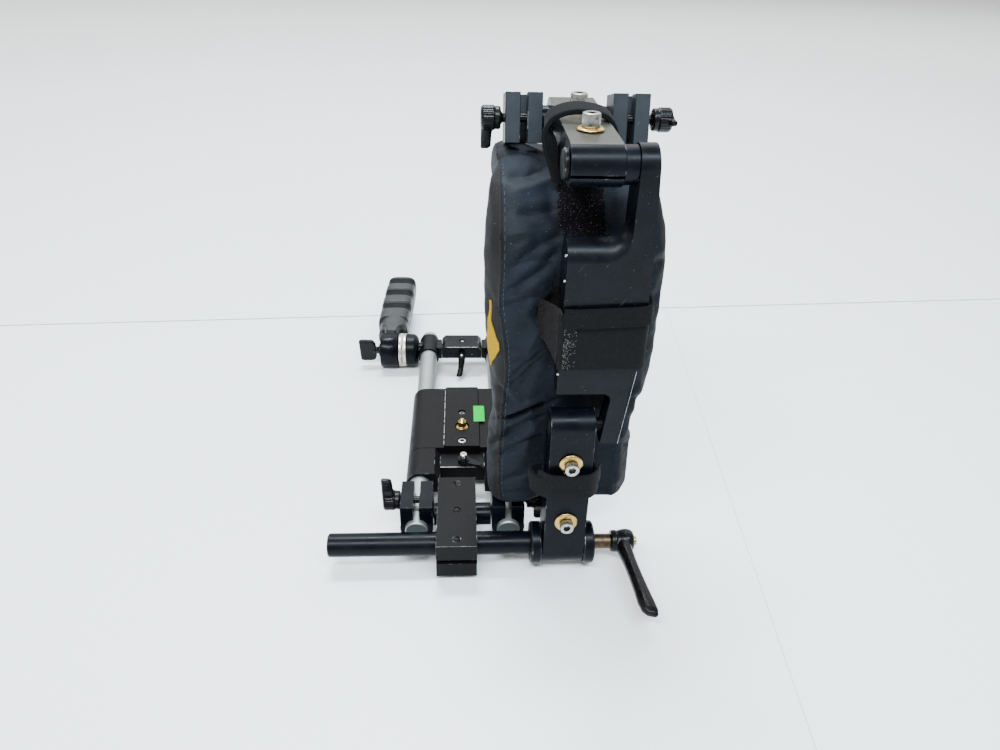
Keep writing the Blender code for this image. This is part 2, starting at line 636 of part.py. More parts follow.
# ---------------------------------------------------------------- base plate

def sleeve_section(top, bottom, crest_half=None, crest=None):
    """XZ section of a plate whose two ends wrap the rods."""
    left, right = ROD_X
    outline = arc((left, 0.0), SLEEVE_RADIUS, 90.0, 230.0, 10)
    outline += [(left + 4.0, bottom), (right - 4.0, bottom)]
    outline += arc((right, 0.0), SLEEVE_RADIUS, -50.0, 90.0, 10)
    if crest_half:
        outline += [(crest_half, top), (crest_half - 0.8, crest), (-crest_half + 0.8, crest),
                    (-crest_half, top)]
    return outline


def cut_rod_bores(target, low, high):
    for x in ROD_X:
        subtract(target, cylinder("Y", (x, 0.0), BORE_RADIUS, low, high))


def make_base_plate():
    pivot = (0.0, sum(PLATE_Y) / 2, 0.0)
    section = sleeve_section(PLATE_TOP, -7.0, 13.5, PLATE_CREST)
    plate = piece("base_plate", prism("Y", section, *PLATE_Y), "charcoal_anodised", pivot)
    cut_rod_bores(plate, PLATE_Y[0] - 1, PLATE_Y[1] + 1)
    subtract(plate, cylinder("Z", (0.0, PLATE_SCREWS_Y[0]), 3.6, 4.0, 14.0, COARSE))
    subtract(plate, cylinder("Z", (0.0, PLATE_SCREWS_Y[1]), 5.4, -9.0, 14.0, COARSE))
    subtract(plate, cylinder("Z", (0.0, PLATE_SCREWS_Y[2]), 2.9, 4.0, 14.0, COARSE))
    make_socket_screw("plate_cap_screw", "Z", (0.0, PLATE_SCREWS_Y[0]), PLATE_CREST - 0.2, -1,
                      3.2, 3.2, 1.8, 2.0, "black_oxide", pivot)
    screw = [(-11.5, 0.0), (-11.5, 4.6), (-8.2, 5.0), (PLATE_CREST - 1.0, 5.0),
             (PLATE_CREST - 0.2, 4.0), (PLATE_CREST + 0.2, 3.1), (PLATE_CREST + 4.2, 3.1),
             (PLATE_CREST + 6.4, 1.0), (PLATE_CREST + 6.4, 0.0)]
    camera = piece("camera_screw", turned("Z", (0.0, PLATE_SCREWS_Y[1]), screw, 16), "brass",
                   (0.0, PLATE_SCREWS_Y[1], 0.0))
    subtract(camera, block((-0.7, 0.7), (PLATE_SCREWS_Y[1] - 7, PLATE_SCREWS_Y[1] + 7),
                           (-13.0, -10.2)))
    slot_head = piece("plate_lock_screw", turned("Z", (0.0, PLATE_SCREWS_Y[2]), [
        (5.0, 0.0), (5.0, 2.5), (PLATE_CREST - 1.0, 2.5), (PLATE_CREST - 1.0, 0.0)], COARSE),
        "black_oxide", pivot)
    subtract(slot_head, block((-0.6, 0.6), (PLATE_SCREWS_Y[2] - 4, PLATE_SCREWS_Y[2] + 4),
                              (PLATE_CREST - 2.2, PLATE_CREST)))


def make_base_lock():
    pivot = (0.0, sum(PLATE_Y) / 2, 0.0)
    front, deck = LOCK_DECK
    section = sleeve_section(SLEEVE_RADIUS, -7.0)
    lock = piece("base_lock_body", prism("Y", section, *LOCK_Y), "charcoal_anodised", pivot)
    cut_rod_bores(lock, LOCK_Y[0] - 1, LOCK_Y[1] + 1)
    recess = [(-16.0, deck), (16.0, deck), (20.5, SLEEVE_RADIUS + 1.0), (-20.5, SLEEVE_RADIUS + 1.0)]
    subtract(lock, prism("Y", recess, LOCK_Y[0] - 1, LOCK_Y[1] + 1))
    subtract(lock, block((-16.0, 16.0), (LOCK_Y[0] - 2, front), (-10.0, deck + 1.0)))
    subtract(lock, cylinder("Z", LOCK_CENTRE, 2.0, -9.0, deck + 1.0, COARSE))
    centre = LOCK_CENTRE
    lever = piece("base_lock_lever", cylinder("Z", centre, 4.0, deck + GAP, deck + 4.4, 20),
                  "black_oxide", (*centre, 0.0))
    arm = [(-0.5, 72.8), (13.0, 68.8), (14.0, 71.4), (4.5, 78.6)]
    unite(lever, prism("Z", arm, deck + 0.7, deck + 3.2))
    subtract(lever, cylinder("Z", centre, 2.0, deck - 1.0, deck + 6.0, COARSE))
    make_socket_screw("base_lock_screw", "Z", centre, deck + 8.2, -1, 2.6, 3.4, 1.6, 10.0,
                      "bright_steel", (*centre, 0.0))


# ---------------------------------------------------------------- rear bracket

def rear_clamp(name, x, side):
    """Split sleeve round a rod with a neck on its inner side."""
    middle_y = sum(REAR_Y) / 2
    clamp = piece(name, cylinder("Y", (x, 0.0), REAR_RADIUS, *REAR_Y), "black_anodised",
                  (0.0, middle_y, 0.0))
    if side > 0:
        inner = [x + 7.0, ACCESSORY_X[0] - GAP]
    else:
        inner = [ACCESSORY_X[1] + GAP, x - 7.0]
    unite(clamp, block(inner, (REAR_Y[0] + 6, REAR_Y[1] - 6), (-4.5, 6.5)))
    if side > 0:
        unite(clamp, cylinder("X", (GRIP_AXIS_Y, 0.0), 7.0, BOSS_X[1] + GAP, x - 5.0, 24))
    subtract(clamp, cylinder("Y", (x, 0.0), BORE_RADIUS, REAR_Y[0] - 1, REAR_Y[1] + 1))
    return clamp


def make_rear_bracket():
    rear_clamp("rear_left_clamp", ROD_X[0], 1)
    rear_clamp("rear_right_clamp", ROD_X[1], -1)
    x, z = ACCESSORY_X, ACCESSORY_Z
    outline = [(x[0], z[0]), (x[1], z[0]), (x[1], z[1] - 3), (x[1] - 3, z[1]),
               (x[0] + 3, z[1]), (x[0], z[1] - 3)]
    pivot = (0.0, sum(REAR_Y) / 2, 0.0)
    body = piece("accessory_block", prism("Y", outline, REAR_Y[0] + 1, REAR_Y[1] - 4),
                 "black_anodised", pivot)
    subtract(body, cylinder("Z", (0.0, pivot[1]), TAPPED_RADIUS, 2.0, 12.0, COARSE))
    subtract(body, cylinder("Y", (0.0, 3.0), 2.2, REAR_Y[0] - 1, REAR_Y[0] + 9.0, COARSE))
    for dot_x in (-9.5, 9.5):
        subtract(body, cylinder("Y", (dot_x, 3.0), 0.9, REAR_Y[0], REAR_Y[0] + 3.0, 12))
    make_rear_lever()


def make_rear_lever():
    centre = (0.0, 3.0)
    pivot = (0.0, REAR_Y[0], 3.0)
    shaft = [(REAR_Y[0] - 5.5, 0.0), (REAR_Y[0] - 5.5, 2.0), (REAR_Y[0] - 4.5, 3.0),
             (REAR_Y[0] + 0.6, 3.0), (REAR_Y[0] + 0.6, 1.8), (REAR_Y[0] + 8.0, 1.8),
             (REAR_Y[0] + 8.0, 0.0)]
    lever = piece("rear_clamp_lever", turned("Y", centre, shaft, COARSE), "moulded_plastic",
                  pivot)
    sections = []
    for t in (0.0, 0.25, 0.6, 0.9, 1.0):
        middle = Vector((-0.6 * t, REAR_Y[0] - 2.5 - 9.5 * t, 3.0 - 15.5 * t))
        size = 2.2 - 0.7 * t + (0.5 if 0.5 < t < 1.0 else 0.0)
        sections.append([middle + Vector((size * u, size * v, 0.0))
                         for u, v in circle((0.0, 0.0), 1.0, 12)])
    unite(lever, loft(sections))


# ---------------------------------------------------------------- handgrip

def grip_point(distance, across, lift):
    """Point at a distance along the tilted grip, offset along X and away from its axis."""
    y = GRIP_AXIS_Y + distance * math.cos(GRIP_TILT) - lift * math.sin(GRIP_TILT)
    z = distance * math.sin(GRIP_TILT) + lift * math.cos(GRIP_TILT)
    return Vector((GRIP_CENTRE_X + GRIP_SPLAY * distance + across, y, z))


def grip_ring(distance, half_width, half_depth, steps=16, power=0.8):
    ring = []
    for i in range(steps):
        angle = 2 * math.pi * i / steps
        u = math.copysign(abs(math.cos(angle)) ** power, math.cos(angle))
        v = math.copysign(abs(math.sin(angle)) ** power, math.sin(angle))
        ring.append(grip_point(distance, half_width * u, half_depth * v))
    return ring


def make_rosette():
    left, right = BOSS_X
    pivot = (right, GRIP_AXIS_Y, 0.0)
    centre = (GRIP_AXIS_Y, 0.0)
    boss = piece("rosette_boss", turned("X", centre, [
        (right, 0.0), (right, 10.5), (right - 1.0, 12.8), (right - 2.6, 14.2),
        (right - 4.4, 14.8), (left, 14.8), (left, 0.0)]), "black_anodised", pivot)
    subtract(boss, cylinder("X", centre, 4.2, left - 1, right + 1, COARSE))
    left, right = RING_X
    ring = piece("rosette_ring", turned("X", centre, [
        (right, 0.0), (right, 14.6), (right - 0.6, 15.2), (left + 0.7, 15.2),
        (left, 14.6), (left, 0.0)]), "bright_steel", (GRIP_CENTRE_X, GRIP_AXIS_Y, 0.0))
    subtract(ring, cylinder("X", centre, 4.2, left - 1, right + 1, COARSE))


def make_handgrip():
    pivot = (GRIP_CENTRE_X, GRIP_AXIS_Y, 0.0)
    centre = (GRIP_AXIS_Y, 0.0)
    core = piece("grip_core", turned("X", centre, [
        (GRIP_X[0], 0.0), (GRIP_X[0], GRIP_RADIUS - 1.2), (GRIP_X[0] + 1.2, GRIP_RADIUS),
        (GRIP_X[1] - 0.8, GRIP_RADIUS), (GRIP_X[1], GRIP_RADIUS - 0.8), (GRIP_X[1], 0.0)]),
        "moulded_plastic", pivot)
    lug = [(4.0, 6.0, 11.0), (18.0, 7.0, 11.5), (28.0, 11.5, 11.0), (36.0, 12.5, 11.0)]
    unite(core, loft([grip_ring(d, w, h) for d, w, h in lug]))
    unite(core, loft([grip_ring(d, 6.0, 6.0, 16, 1.0) for d in (30.0, 96.0)]))
    subtract(core, cylinder("X", centre, 4.2, GRIP_X[0] - 1, GRIP_X[1] + 1, COARSE))
    sections = [grip_ring(36.6, 12.2, 11.5)]
    steps = 18
    for i in range(steps + 1):
        distance = 38.0 + (GRIP_LENGTH - 3.0 - 38.0) * i / steps
        groove = 1.2 * math.cos(2 * math.pi * (distance - 38.0) / 21.0)
        swell = 0.6 * math.sin(math.pi * i / steps)
        sections.append(grip_ring(distance, 12.8 + swell * 0.8 + groove * 0.5,
                                  13.0 + swell + groove))
    sections.append(grip_ring(GRIP_LENGTH - 0.8, 11.4, 11.6))
    sections.append(grip_ring(GRIP_LENGTH, 8.5, 8.8))
    sleeve = piece("grip_sleeve", loft(sections), "grip_rubber", pivot)
    subtract(sleeve, loft([grip_ring(d, 6.4, 6.4, 16, 1.0) for d in (35.0, 98.0)]))
    make_grip_knob(centre)


def make_grip_knob(centre):
    face = GRIP_X[0] - GAP
    profile = [(face + 30.0, 0.0), (face + 30.0, 3.6), (face, 3.6), (face, 5.2),
               (face - 4.0, 5.2), (face - 6.5, 4.0), (face - 6.5, 0.0)]
    knob = piece("grip_thumbscrew", turned("X", centre, profile, 16), "moulded_plastic",
                 (face, *centre))
    wing = [(face - 5.0, -4.0), (face - 5.0, 4.0), (face - 8.0, 9.4), (face - 18.0, 10.6),
            (face - 19.5, 9.0), (face - 19.5, -9.0), (face - 18.0, -10.6), (face - 8.0, -9.4)]
    unite(knob, prism("Y", wing, GRIP_AXIS_Y - 2.2, GRIP_AXIS_Y + 2.2))


# ---------------------------------------------------------------- the whole rig

def main():
    clear_scene()
    make_rods()
    make_front_bracket()
    make_offset_block()
    make_tube()
    make_collars()
    make_ratchet_lever()
    make_link("lower", False)
    make_link("top", True)
    make_mid_link()
    make_hinge_pins()
    make_top_bracket()
    make_straps()
    make_pads()
    make_base_plate()
    make_base_lock()
    make_rear_bracket()
    make_rosette()
    make_handgrip()


main()
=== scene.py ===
"""Looks of the shoulder-mount cinema camera rig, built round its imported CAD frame.

Places are given in rig millimetres: zero on the offset tube's axis, midway between the
two rods, X to the right, Y along the rods and Z up. rig() turns them into frame metres.
"""
import json
import math
import random

import bmesh
import bpy
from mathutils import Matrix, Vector, noise
from mathutils.bvhtree import BVHTree

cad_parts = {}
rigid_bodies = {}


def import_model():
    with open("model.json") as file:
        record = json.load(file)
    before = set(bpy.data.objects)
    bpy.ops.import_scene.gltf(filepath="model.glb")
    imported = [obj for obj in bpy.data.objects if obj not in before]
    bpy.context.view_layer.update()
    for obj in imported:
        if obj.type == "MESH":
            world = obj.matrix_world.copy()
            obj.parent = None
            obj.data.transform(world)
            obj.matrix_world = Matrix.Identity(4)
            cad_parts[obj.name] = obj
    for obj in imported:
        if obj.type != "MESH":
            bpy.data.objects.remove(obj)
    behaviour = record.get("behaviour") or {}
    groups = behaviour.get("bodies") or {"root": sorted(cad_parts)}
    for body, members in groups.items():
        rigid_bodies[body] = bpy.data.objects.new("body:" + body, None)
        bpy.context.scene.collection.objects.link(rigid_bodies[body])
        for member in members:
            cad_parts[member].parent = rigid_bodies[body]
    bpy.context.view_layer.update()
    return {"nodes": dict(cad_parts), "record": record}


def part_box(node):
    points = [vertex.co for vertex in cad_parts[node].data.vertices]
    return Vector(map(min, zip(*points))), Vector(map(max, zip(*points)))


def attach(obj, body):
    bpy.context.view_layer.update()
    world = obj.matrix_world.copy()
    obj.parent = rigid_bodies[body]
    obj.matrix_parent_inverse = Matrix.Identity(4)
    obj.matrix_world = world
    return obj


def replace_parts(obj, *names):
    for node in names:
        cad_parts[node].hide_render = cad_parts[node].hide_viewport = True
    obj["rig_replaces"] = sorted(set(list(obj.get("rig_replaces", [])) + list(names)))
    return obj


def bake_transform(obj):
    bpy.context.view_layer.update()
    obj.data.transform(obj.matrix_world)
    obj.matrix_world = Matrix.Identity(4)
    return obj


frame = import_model()
MM = 0.001
RECORD = frame["record"]
BODY_OF = {node: body for body, nodes in RECORD["behaviour"]["bodies"].items() for node in nodes}
SLOT_OF = {part["node"]: part["material_slot"] for part in RECORD["subparts"]}


def rig_origin():
    left, right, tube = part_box("left_rod"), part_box("right_rod"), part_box("offset_tube")
    middle = (left[0] + right[1]) / 2
    axis = (tube[0] + tube[1]) / 2
    return Vector((middle.x, axis.y, axis.z))


ORIGIN = rig_origin()


def rig(x, y, z):
    return ORIGIN + Vector((x, y, z)) * MM


def rig_box(node):
    """Lowest and highest corner of a CAD node in rig millimetres."""
    return [(corner - ORIGIN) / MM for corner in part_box(node)]


def smooth_step(value, low, high):
    t = min(max((value - low) / (high - low), 0), 1)
    return t * t * (3 - 2 * t)


# ---- materials

class Paint:
    """A Principled material whose nodes are added one call at a time, sizes in millimetres."""

    def __init__(self, name, colour, metallic=0, roughness=0.5, **constants):
        self.material = bpy.data.materials.new(name)
        self.material.use_nodes = True
        self.tree = self.material.node_tree
        self.shader = self.tree.nodes["Principled BSDF"]
        self.colour = self.normal = None
        sockets = {key.replace("_", " "): value for key, value in constants.items()}
        self.fill(self.shader, {"Base Color": (*colour, 1), "Metallic": metallic,
                                "Roughness": roughness, **sockets})

    def fill(self, node, inputs):
        for key, value in inputs.items():
            if isinstance(value, bpy.types.NodeSocket):
                self.tree.links.new(value, node.inputs[key])
            else:
                node.inputs[key].default_value = value

    def node(self, kind, inputs, **settings):
        made = self.tree.nodes.new("ShaderNode" + kind)
        for key, value in settings.items():
            setattr(made, key, value)
        self.fill(made, inputs)
        return made

    def place(self, stretch=(1, 1, 1), turn=(0, 0, 0)):
        coords = self.node("TexCoord", {}).outputs["Object"]
        turned = self.node("Mapping", {"Vector": coords, "Rotation": turn}).outputs["Vector"]
        scale = tuple(1 / (MM * s) for s in stretch)
        return self.node("Mapping", {"Vector": turned, "Scale": scale}).outputs["Vector"]

    def noise(self, size, detail=3, *placing):
        return self.node("TexNoise", {"Vector": self.place(*placing), "Scale": 1 / size,
                                      "Detail": detail}).outputs["Fac"]

    def wave(self, size, direction, distortion=0):
        return self.node("TexWave", {"Vector": self.place(), "Scale": 0.314 / size,
                                     "Distortion": distortion},
                         bands_direction=direction).outputs["Fac"]

    def band(self, value, low, high, start=0, end=1):
        return self.node("MapRange", {"Value": value, "From Min": low, "From Max": high,
                                      "To Min": start, "To Max": end}).outputs["Result"]

    def tint(self, factor, colour):
        """Colour the surface where the factor is 1, over what it had before."""
        before = self.colour or tuple(self.shader.inputs["Base Color"].default_value)
        mixed = self.node("Mix", {0: factor, 6: before, 7: (*colour, 1)}, data_type="RGBA")
        self.colour = mixed.outputs[2]
        self.fill(self.shader, {"Base Color": self.colour})

    def fleck(self, size, detail, low, high, amount, colour):
        """Another colour where a noise lies above a threshold."""
        self.tint(self.band(self.noise(size, detail), low, high, 0, amount), colour)

    def roughen(self, value, start, end, low=0.3, high=0.7):
        self.fill(self.shader, {"Roughness": self.band(value, low, high, start, end)})

    def bump(self, height, distance, strength=1):
        inputs = {"Height": height, "Distance": distance * MM, "Strength": strength}
        if self.normal:
            inputs["Normal"] = self.normal
        self.normal = self.node("Bump", inputs).outputs["Normal"]
        self.fill(self.shader, {"Normal": self.normal})


DUST = (0.2, 0.18, 0.155)
BARE = (0.36, 0.36, 0.35)


def times(colour, factor):
    return tuple(c * factor for c in colour)


def anodised(name, colour, metallic, roughness, dust=0.67, cloud=1.5, shine=0.5):
    """Bead-blasted anodised metal with cloudy handling marks, hairlines and dust specks."""
    paint = Paint(name, colour, metallic, roughness, Specular_IOR_Level=shine)
    clouds = paint.noise(14, 5)
    paint.tint(paint.band(clouds, 0.4, 0.72), times(colour, cloud))
    hairs = paint.noise(0.9, 2, (26, 1, 0.6), (0.5, 0.9, 0.4))
    paint.tint(paint.band(hairs, 0.73, 0.8, 0, 0.35), DUST)
    paint.fleck(0.75, 2, dust, dust + 0.05, 0.8, DUST)
    paint.roughen(clouds, roughness - 0.05, roughness + 0.1)
    paint.bump(paint.noise(0.16, 2), 0.02, 0.35)
    return paint.material


def worn_edge(name, colour, metallic, roughness, low, high):
    """The same metal rubbed through to bright metal in dashes along its edges."""
    paint = Paint(name, colour, metallic, roughness, Specular_IOR_Level=0.12)
    factor = paint.band(paint.noise(5, 6), low, high)
    paint.tint(factor, BARE)
    paint.roughen(factor, roughness, 0.33, 0, 1)
    paint.bump(paint.noise(0.5, 3), 0.03, 0.5)
    return paint.material


def turned_metal(name, colour, roughness, stain=(0.25, 0.2, 0.12), amount=0.5):
    paint = Paint(name, colour, 1, roughness)
    paint.fleck(2.2, 4, 0.5, 0.75, amount, stain)
    grain = paint.noise(0.35, 2, (1, 1, 0.3))
    paint.roughen(grain, roughness - 0.06, roughness + 0.12)
    paint.bump(grain, 0.012, 0.4)
    return paint.material


def moulded(name, colour, roughness, grain=0.35, depth=0.05, shine=0.3):
    paint = Paint(name, colour, 0, roughness, Specular_IOR_Level=shine)
    clouds = paint.noise(6, 4)
    paint.tint(paint.band(clouds, 0.45, 0.75), times(colour, 1.7))
    paint.fleck(0.6, 2, 0.7, 0.76, 0.6, DUST)
    paint.roughen(clouds, roughness - 0.06, roughness + 0.1)
    paint.bump(paint.noise(grain, 3), depth, 0.6)
    return paint.material


def nylon(name, colour, sheen, roughness):
    """Coated pack cloth: a fine plain weave, soft crinkles, lint and rubbed patches."""
    paint = Paint(name, colour, 0, roughness, Specular_IOR_Level=0.13, Sheen_Weight=sheen,
                  Sheen_Roughness=0.45, Sheen_Tint=(0.55, 0.66, 0.85, 1))
    clouds = paint.noise(17, 5)
    paint.tint(paint.band(clouds, 0.42, 0.7, 0, 0.8), times(colour, 1.9))
    paint.fleck(1.1, 3, 0.7, 0.76, 0.5, DUST)
    paint.roughen(clouds, roughness - 0.09, roughness + 0.08)
    paint.bump(paint.noise(5, 3, (3.4, 3.4, 1), (0, 0.42, 0)), 0.8, 0.45)
    paint.bump(paint.noise(2.4, 4, (1, 1, 0.5)), 0.3, 0.4)
    weave = paint.node("Math", {0: paint.wave(0.42, "X"), 1: paint.wave(0.42, "Z")},
                       operation="MULTIPLY").outputs[0]
    paint.bump(weave, 0.06, 0.35)
    return paint.material


def loop_face(name, colour, specks):
    """Matted loop pile with bright specks in it."""
    paint = Paint(name, colour, 0, 0.95, Specular_IOR_Level=0.07, Sheen_Weight=0.03,
                  Sheen_Roughness=0.5)
    pile = paint.noise(0.55, 4)
    paint.tint(paint.band(pile, 0.45, 0.72), times(colour, 2.6))
    paint.fleck(0.5, 1, 0.67, 0.73, specks, (0.36, 0.36, 0.42))
    paint.bump(pile, 0.9, 1)
    return paint.material


def webbing(name, colour):
    """Narrow woven tape: close ribs, fuzz and rubbed grey high spots."""
    paint = Paint(name, colour, 0, 0.85, Specular_IOR_Level=0.09, Sheen_Weight=0.02,
                  Sheen_Roughness=0.5)
    fuzz = paint.noise(0.4, 4)
    paint.tint(paint.band(fuzz, 0.42, 0.75, 0, 0.9), times(colour, 2.2))
    paint.fleck(0.8, 2, 0.7, 0.76, 0.22, DUST)
    paint.bump(fuzz, 0.35, 0.8)
    paint.bump(paint.wave(0.55, "DIAGONAL", 1.2), 0.16, 0.7)
    return paint.material


def patch_cloth():
    paint = Paint("patch_yellow", (0.36, 0.215, 0.003), 0, 0.75, Specular_IOR_Level=0.08)
    paint.fleck(1.4, 4, 0.5, 0.75, 0.7, (0.2, 0.115, 0.008))
    paint.bump(paint.wave(0.5, "DIAGONAL"), 0.08, 0.6)
    return paint.material


def sticker_paper():
    paint = Paint("sticker_green", (0, 0.4, 0.045), 0, 0.8, Specular_IOR_Level=0)
    paint.fleck(2.4, 4, 0.5, 0.8, 0.5, (0, 0.33, 0.04))
    paint.bump(paint.noise(3, 3), 0.15, 0.4)
    return paint.material


def thread(name, colour):
    paint = Paint(name, colour, 0, 0.7)
    paint.bump(paint.wave(0.4, "DIAGONAL"), 0.1, 0.7)
    paint.fleck(1, 3, 0.5, 0.8, 1, times(colour, 1.6))
    return paint.material


CHARCOAL = (0.003, 0.0028, 0.0031)
BLACK = (0.001, 0.0016, 0.003)
ROD = (0.285, 0.3, 0.295)
ROD_SATIN = anodised("rod_satin", ROD, 0.75, 0.42, 0.8, 1.12, 0.4)
PLASTIC = [moulded("plastic_black", (0.0022, 0.0022, 0.0024), 0.25, 0.35, 0.04, 0.16)] * 2
GRIP_GREY = moulded("rubber_grey", (0.0145, 0.016, 0.0164), 0.4, 0.5, 0.03, 0.24)
STEEL = [turned_metal("steel_turned", (0.66, 0.66, 0.64), 0.24, (0.22, 0.21, 0.2), 0.45)] * 2

# Each slot's finish, and the finish of its worn edges.
MATERIALS = {
    "rod_anodised": (ROD_SATIN, worn_edge("rod_edge", ROD, 0.9, 0.3, 0.5, 0.6)),
    "charcoal_anodised": (anodised("charcoal_satin", CHARCOAL, 0, 0.44, 0.735, 1.5, 0.08),
                          worn_edge("charcoal_edge", CHARCOAL, 0.2, 0.5, 0.53, 0.66)),
    "black_anodised": (anodised("black_satin", BLACK, 0, 0.29, 0.745, 1.8, 0.095),
                       worn_edge("black_edge", (0.007, 0.01, 0.015), 0.3, 0.3, 0.58, 0.72)),
    "brass": (turned_metal("brass_turned", (0.52, 0.345, 0.105), 0.24),) * 2,
    "bright_steel": STEEL,
    "black_oxide": (anodised("oxide_satin", (0.003, 0.003, 0.0036), 0, 0.3, 0.76, 1.5, 0.1),
                    worn_edge("oxide_edge", (0.012, 0.013, 0.015), 0.3, 0.35, 0.62, 0.75)),
    "moulded_plastic": PLASTIC,
    "grip_rubber": (GRIP_GREY,) * 2,
    "pad_nylon": (nylon("nylon_front", (0.0034, 0.0054, 0.0088), 0.03, 0.66),
                  nylon("nylon_side", (0.0078, 0.0072, 0.007), 0.04, 0.72)),
    "hook_and_loop": (webbing("webbing_black", (0.0026, 0.0028, 0.0031)),) * 2,
}
# Near-black rubber used as painted shade: in the grip's finger grooves and scoops, on the lower
# hinge pin and in the rear block's countersink.
PAINTED_SHADE_DARK = moulded("painted_shade_rubber", (0.0016, 0.002, 0.0024), 0.5, 0.35, 0.05, 0.08)
LOOP_PATCH = loop_face("loop_patch", (0.002, 0.0018, 0.003), 0.4)
LOOP_DULL = loop_face("loop_dull", (0.0034, 0.0026, 0.0026), 0.12)
PATCH_YELLOW = patch_cloth()
STICKER_GREEN = sticker_paper()
THREAD = thread("thread_grey", (0.02, 0.021, 0.022))
THREAD_PALE = thread("thread_pale", (0.075, 0.075, 0.068))
BRONZE = turned_metal("stud_bronze", (0.085, 0.058, 0.036), 0.38, (0.02, 0.016, 0.012), 0.8)
# Darker copy of the rod finish for the rods' end faces: painted shade in place of the reflection
# they would show.
ROD_END_PAINTED_SHADE = anodised("rod_end_painted_shade", (0.075, 0.094, 0.097), 0.3, 0.5, 0.8, 1.1)
SCREW_STEEL = turned_metal("screw_steel", (0.4, 0.4, 0.375), 0.27, (0.09, 0.085, 0.08), 0.9)
# Darker copy of the screw steel for the hex sockets: painted shade in the recess.
SOCKET_PAINTED_SHADE = turned_metal("socket_painted_shade", (0.1, 0.1, 0.095), 0.4, (0.02, 0.02, 0.02), 0.9)
# Lighter, bluer copy of the black satin for the two top clamps: painted reflection of the light on
# their faces.
CLAMP_PAINTED_SHEEN = anodised("clamp_painted_sheen", (0.0165, 0.0205, 0.0255), 0, 0.4, 0.745, 1.3, 0.2)
# Lighter, warmer copy of the black satin for the top link's upward faces: painted sheen of the
# light from above.
TOP_PAINTED_SHEEN = anodised("top_face_painted_sheen", (0.03, 0.03, 0.025), 0, 0.36, 0.745, 1.3, 0.25)
LINK_GREY = anodised("link_satin", (0.0013, 0.0018, 0.0028), 0, 0.29, 0.742, 2.4, 0.115)
RING_METAL = turned_metal("rosette_metal", (0.6, 0.57, 0.49), 0.3, (0.13, 0.085, 0.035), 1)


# ---- mesh helpers

def new_object(name, data):
    obj = bpy.data.objects.new(name, data)
    bpy.context.scene.collection.objects.link(obj)
    return obj


def new_mesh(name, bm, materials):
    mesh = bpy.data.meshes.new(name)
    bm.to_mesh(mesh)
    bm.free()
    for material in materials:
        mesh.materials.append(material)
    return mesh


def add_object(name, bm, materials, sharp=40):
    """Store a mesh that is already in frame metres."""
    bmesh.ops.recalc_face_normals(bm, faces=bm.faces)
    mesh = new_mesh(name, bm, materials)
    mesh.shade_smooth()
    mesh.set_sharp_from_angle(angle=math.radians(sharp))
    return new_object(name, mesh)


def to_frame(bm):
    for vert in bm.verts:
        vert.co = rig(*vert.co)
    return bm


def stand_for(obj, node):
    """obj is shown in place of the CAD node, and moves with its body."""
    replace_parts(obj, node)
    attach(obj, BODY_OF[node])


def show(node, bm, materials, sharp=40, melted=None):
    """The visible shape of a CAD node, from a mesh in rig millimetres."""
    obj = add_object(f"{node}_shown", to_frame(bm), materials, sharp)
    if melted:
        melt(obj, *melted)
    stand_for(obj, node)
    return obj


def add_to(node, name, bm, materials, sharp=40):
    """An extra piece on a CAD node's body, from a mesh in rig millimetres."""
    obj = add_object(name, to_frame(bm), materials, sharp)
    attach(obj, BODY_OF[node])
    return obj


def modify(obj, kind, **settings):
    modifier = obj.modifiers.new(kind.lower(), kind)
    for key, value in settings.items():
        setattr(modifier, key, value)
    return modifier


def apply_modifiers(obj):
    depsgraph = bpy.context.evaluated_depsgraph_get()
    mesh = bpy.data.meshes.new_from_object(obj.evaluated_get(depsgraph))
    obj.modifiers.clear()
    obj.data = mesh


def melt(obj, voxel, rounds):
    """Merge overlapping shells into one moulded skin with soft edges."""
    modify(obj, "REMESH", mode="VOXEL", voxel_size=voxel * MM)
    modify(obj, "SMOOTH", iterations=rounds, factor=0.5)
    apply_modifiers(obj)
    obj.data.shade_smooth()


def join_rings(bm, rings):
    """Skin closed rings of equal counts and close both ends with fans."""
    count = len(rings[0])
    for first, second in zip(rings, rings[1:]):
        for i in range(count):
            j = (i + 1) % count
            bm.faces.new((first[i], first[j], second[j], second[i]))
    for ring in (rings[0], rings[-1]):
        middle = bm.verts.new(sum((v.co for v in ring), Vector()) / count)
        for i in range(count):
            bm.faces.new((ring[i], ring[(i + 1) % count], middle))


def join_grid(bm, rows):
    for first, second in zip(rows, rows[1:]):
        for i in range(len(first) - 1):
            bm.faces.new((first[i], second[i], second[i + 1], first[i + 1]))


def angles(steps):
    return [2 * math.pi * i / steps for i in range(steps)]


def rounded(angle, power):
    """Cosine and sine of an angle, squared off towards a box as the power falls."""
    u, v = math.cos(angle), math.sin(angle)
    return math.copysign(abs(u) ** power, u), math.copysign(abs(v) ** power, v)


def lathe(start, along, rows, steps, bm=None):
    """Rings round a line; a radius may be a number or a function of the angle."""
    bm = bm or bmesh.new()
    along = Vector(along).normalized()
    side = along.orthogonal().normalized()
    across = along.cross(side)
    rings = []
    for distance, radius in rows:
        ring = []
        for angle in angles(steps):
            size = radius(angle) if callable(radius) else radius
            offset = side * math.cos(angle) * size + across * math.sin(angle) * size
            ring.append(bm.verts.new(Vector(start) + along * distance + offset))
        rings.append(ring)
    join_rings(bm, rings)
    return bm


def loft(bm, sections):
    join_rings(bm, [[bm.verts.new(point) for point in section] for section in sections])


def oval(centre, first, second, power=1, steps=24):
    """Points of a rounded shape spanned by two half-axis vectors."""
    turns = (rounded(angle, power) for angle in angles(steps))
    return [Vector(centre) + Vector(first) * u + Vector(second) * v for u, v in turns]


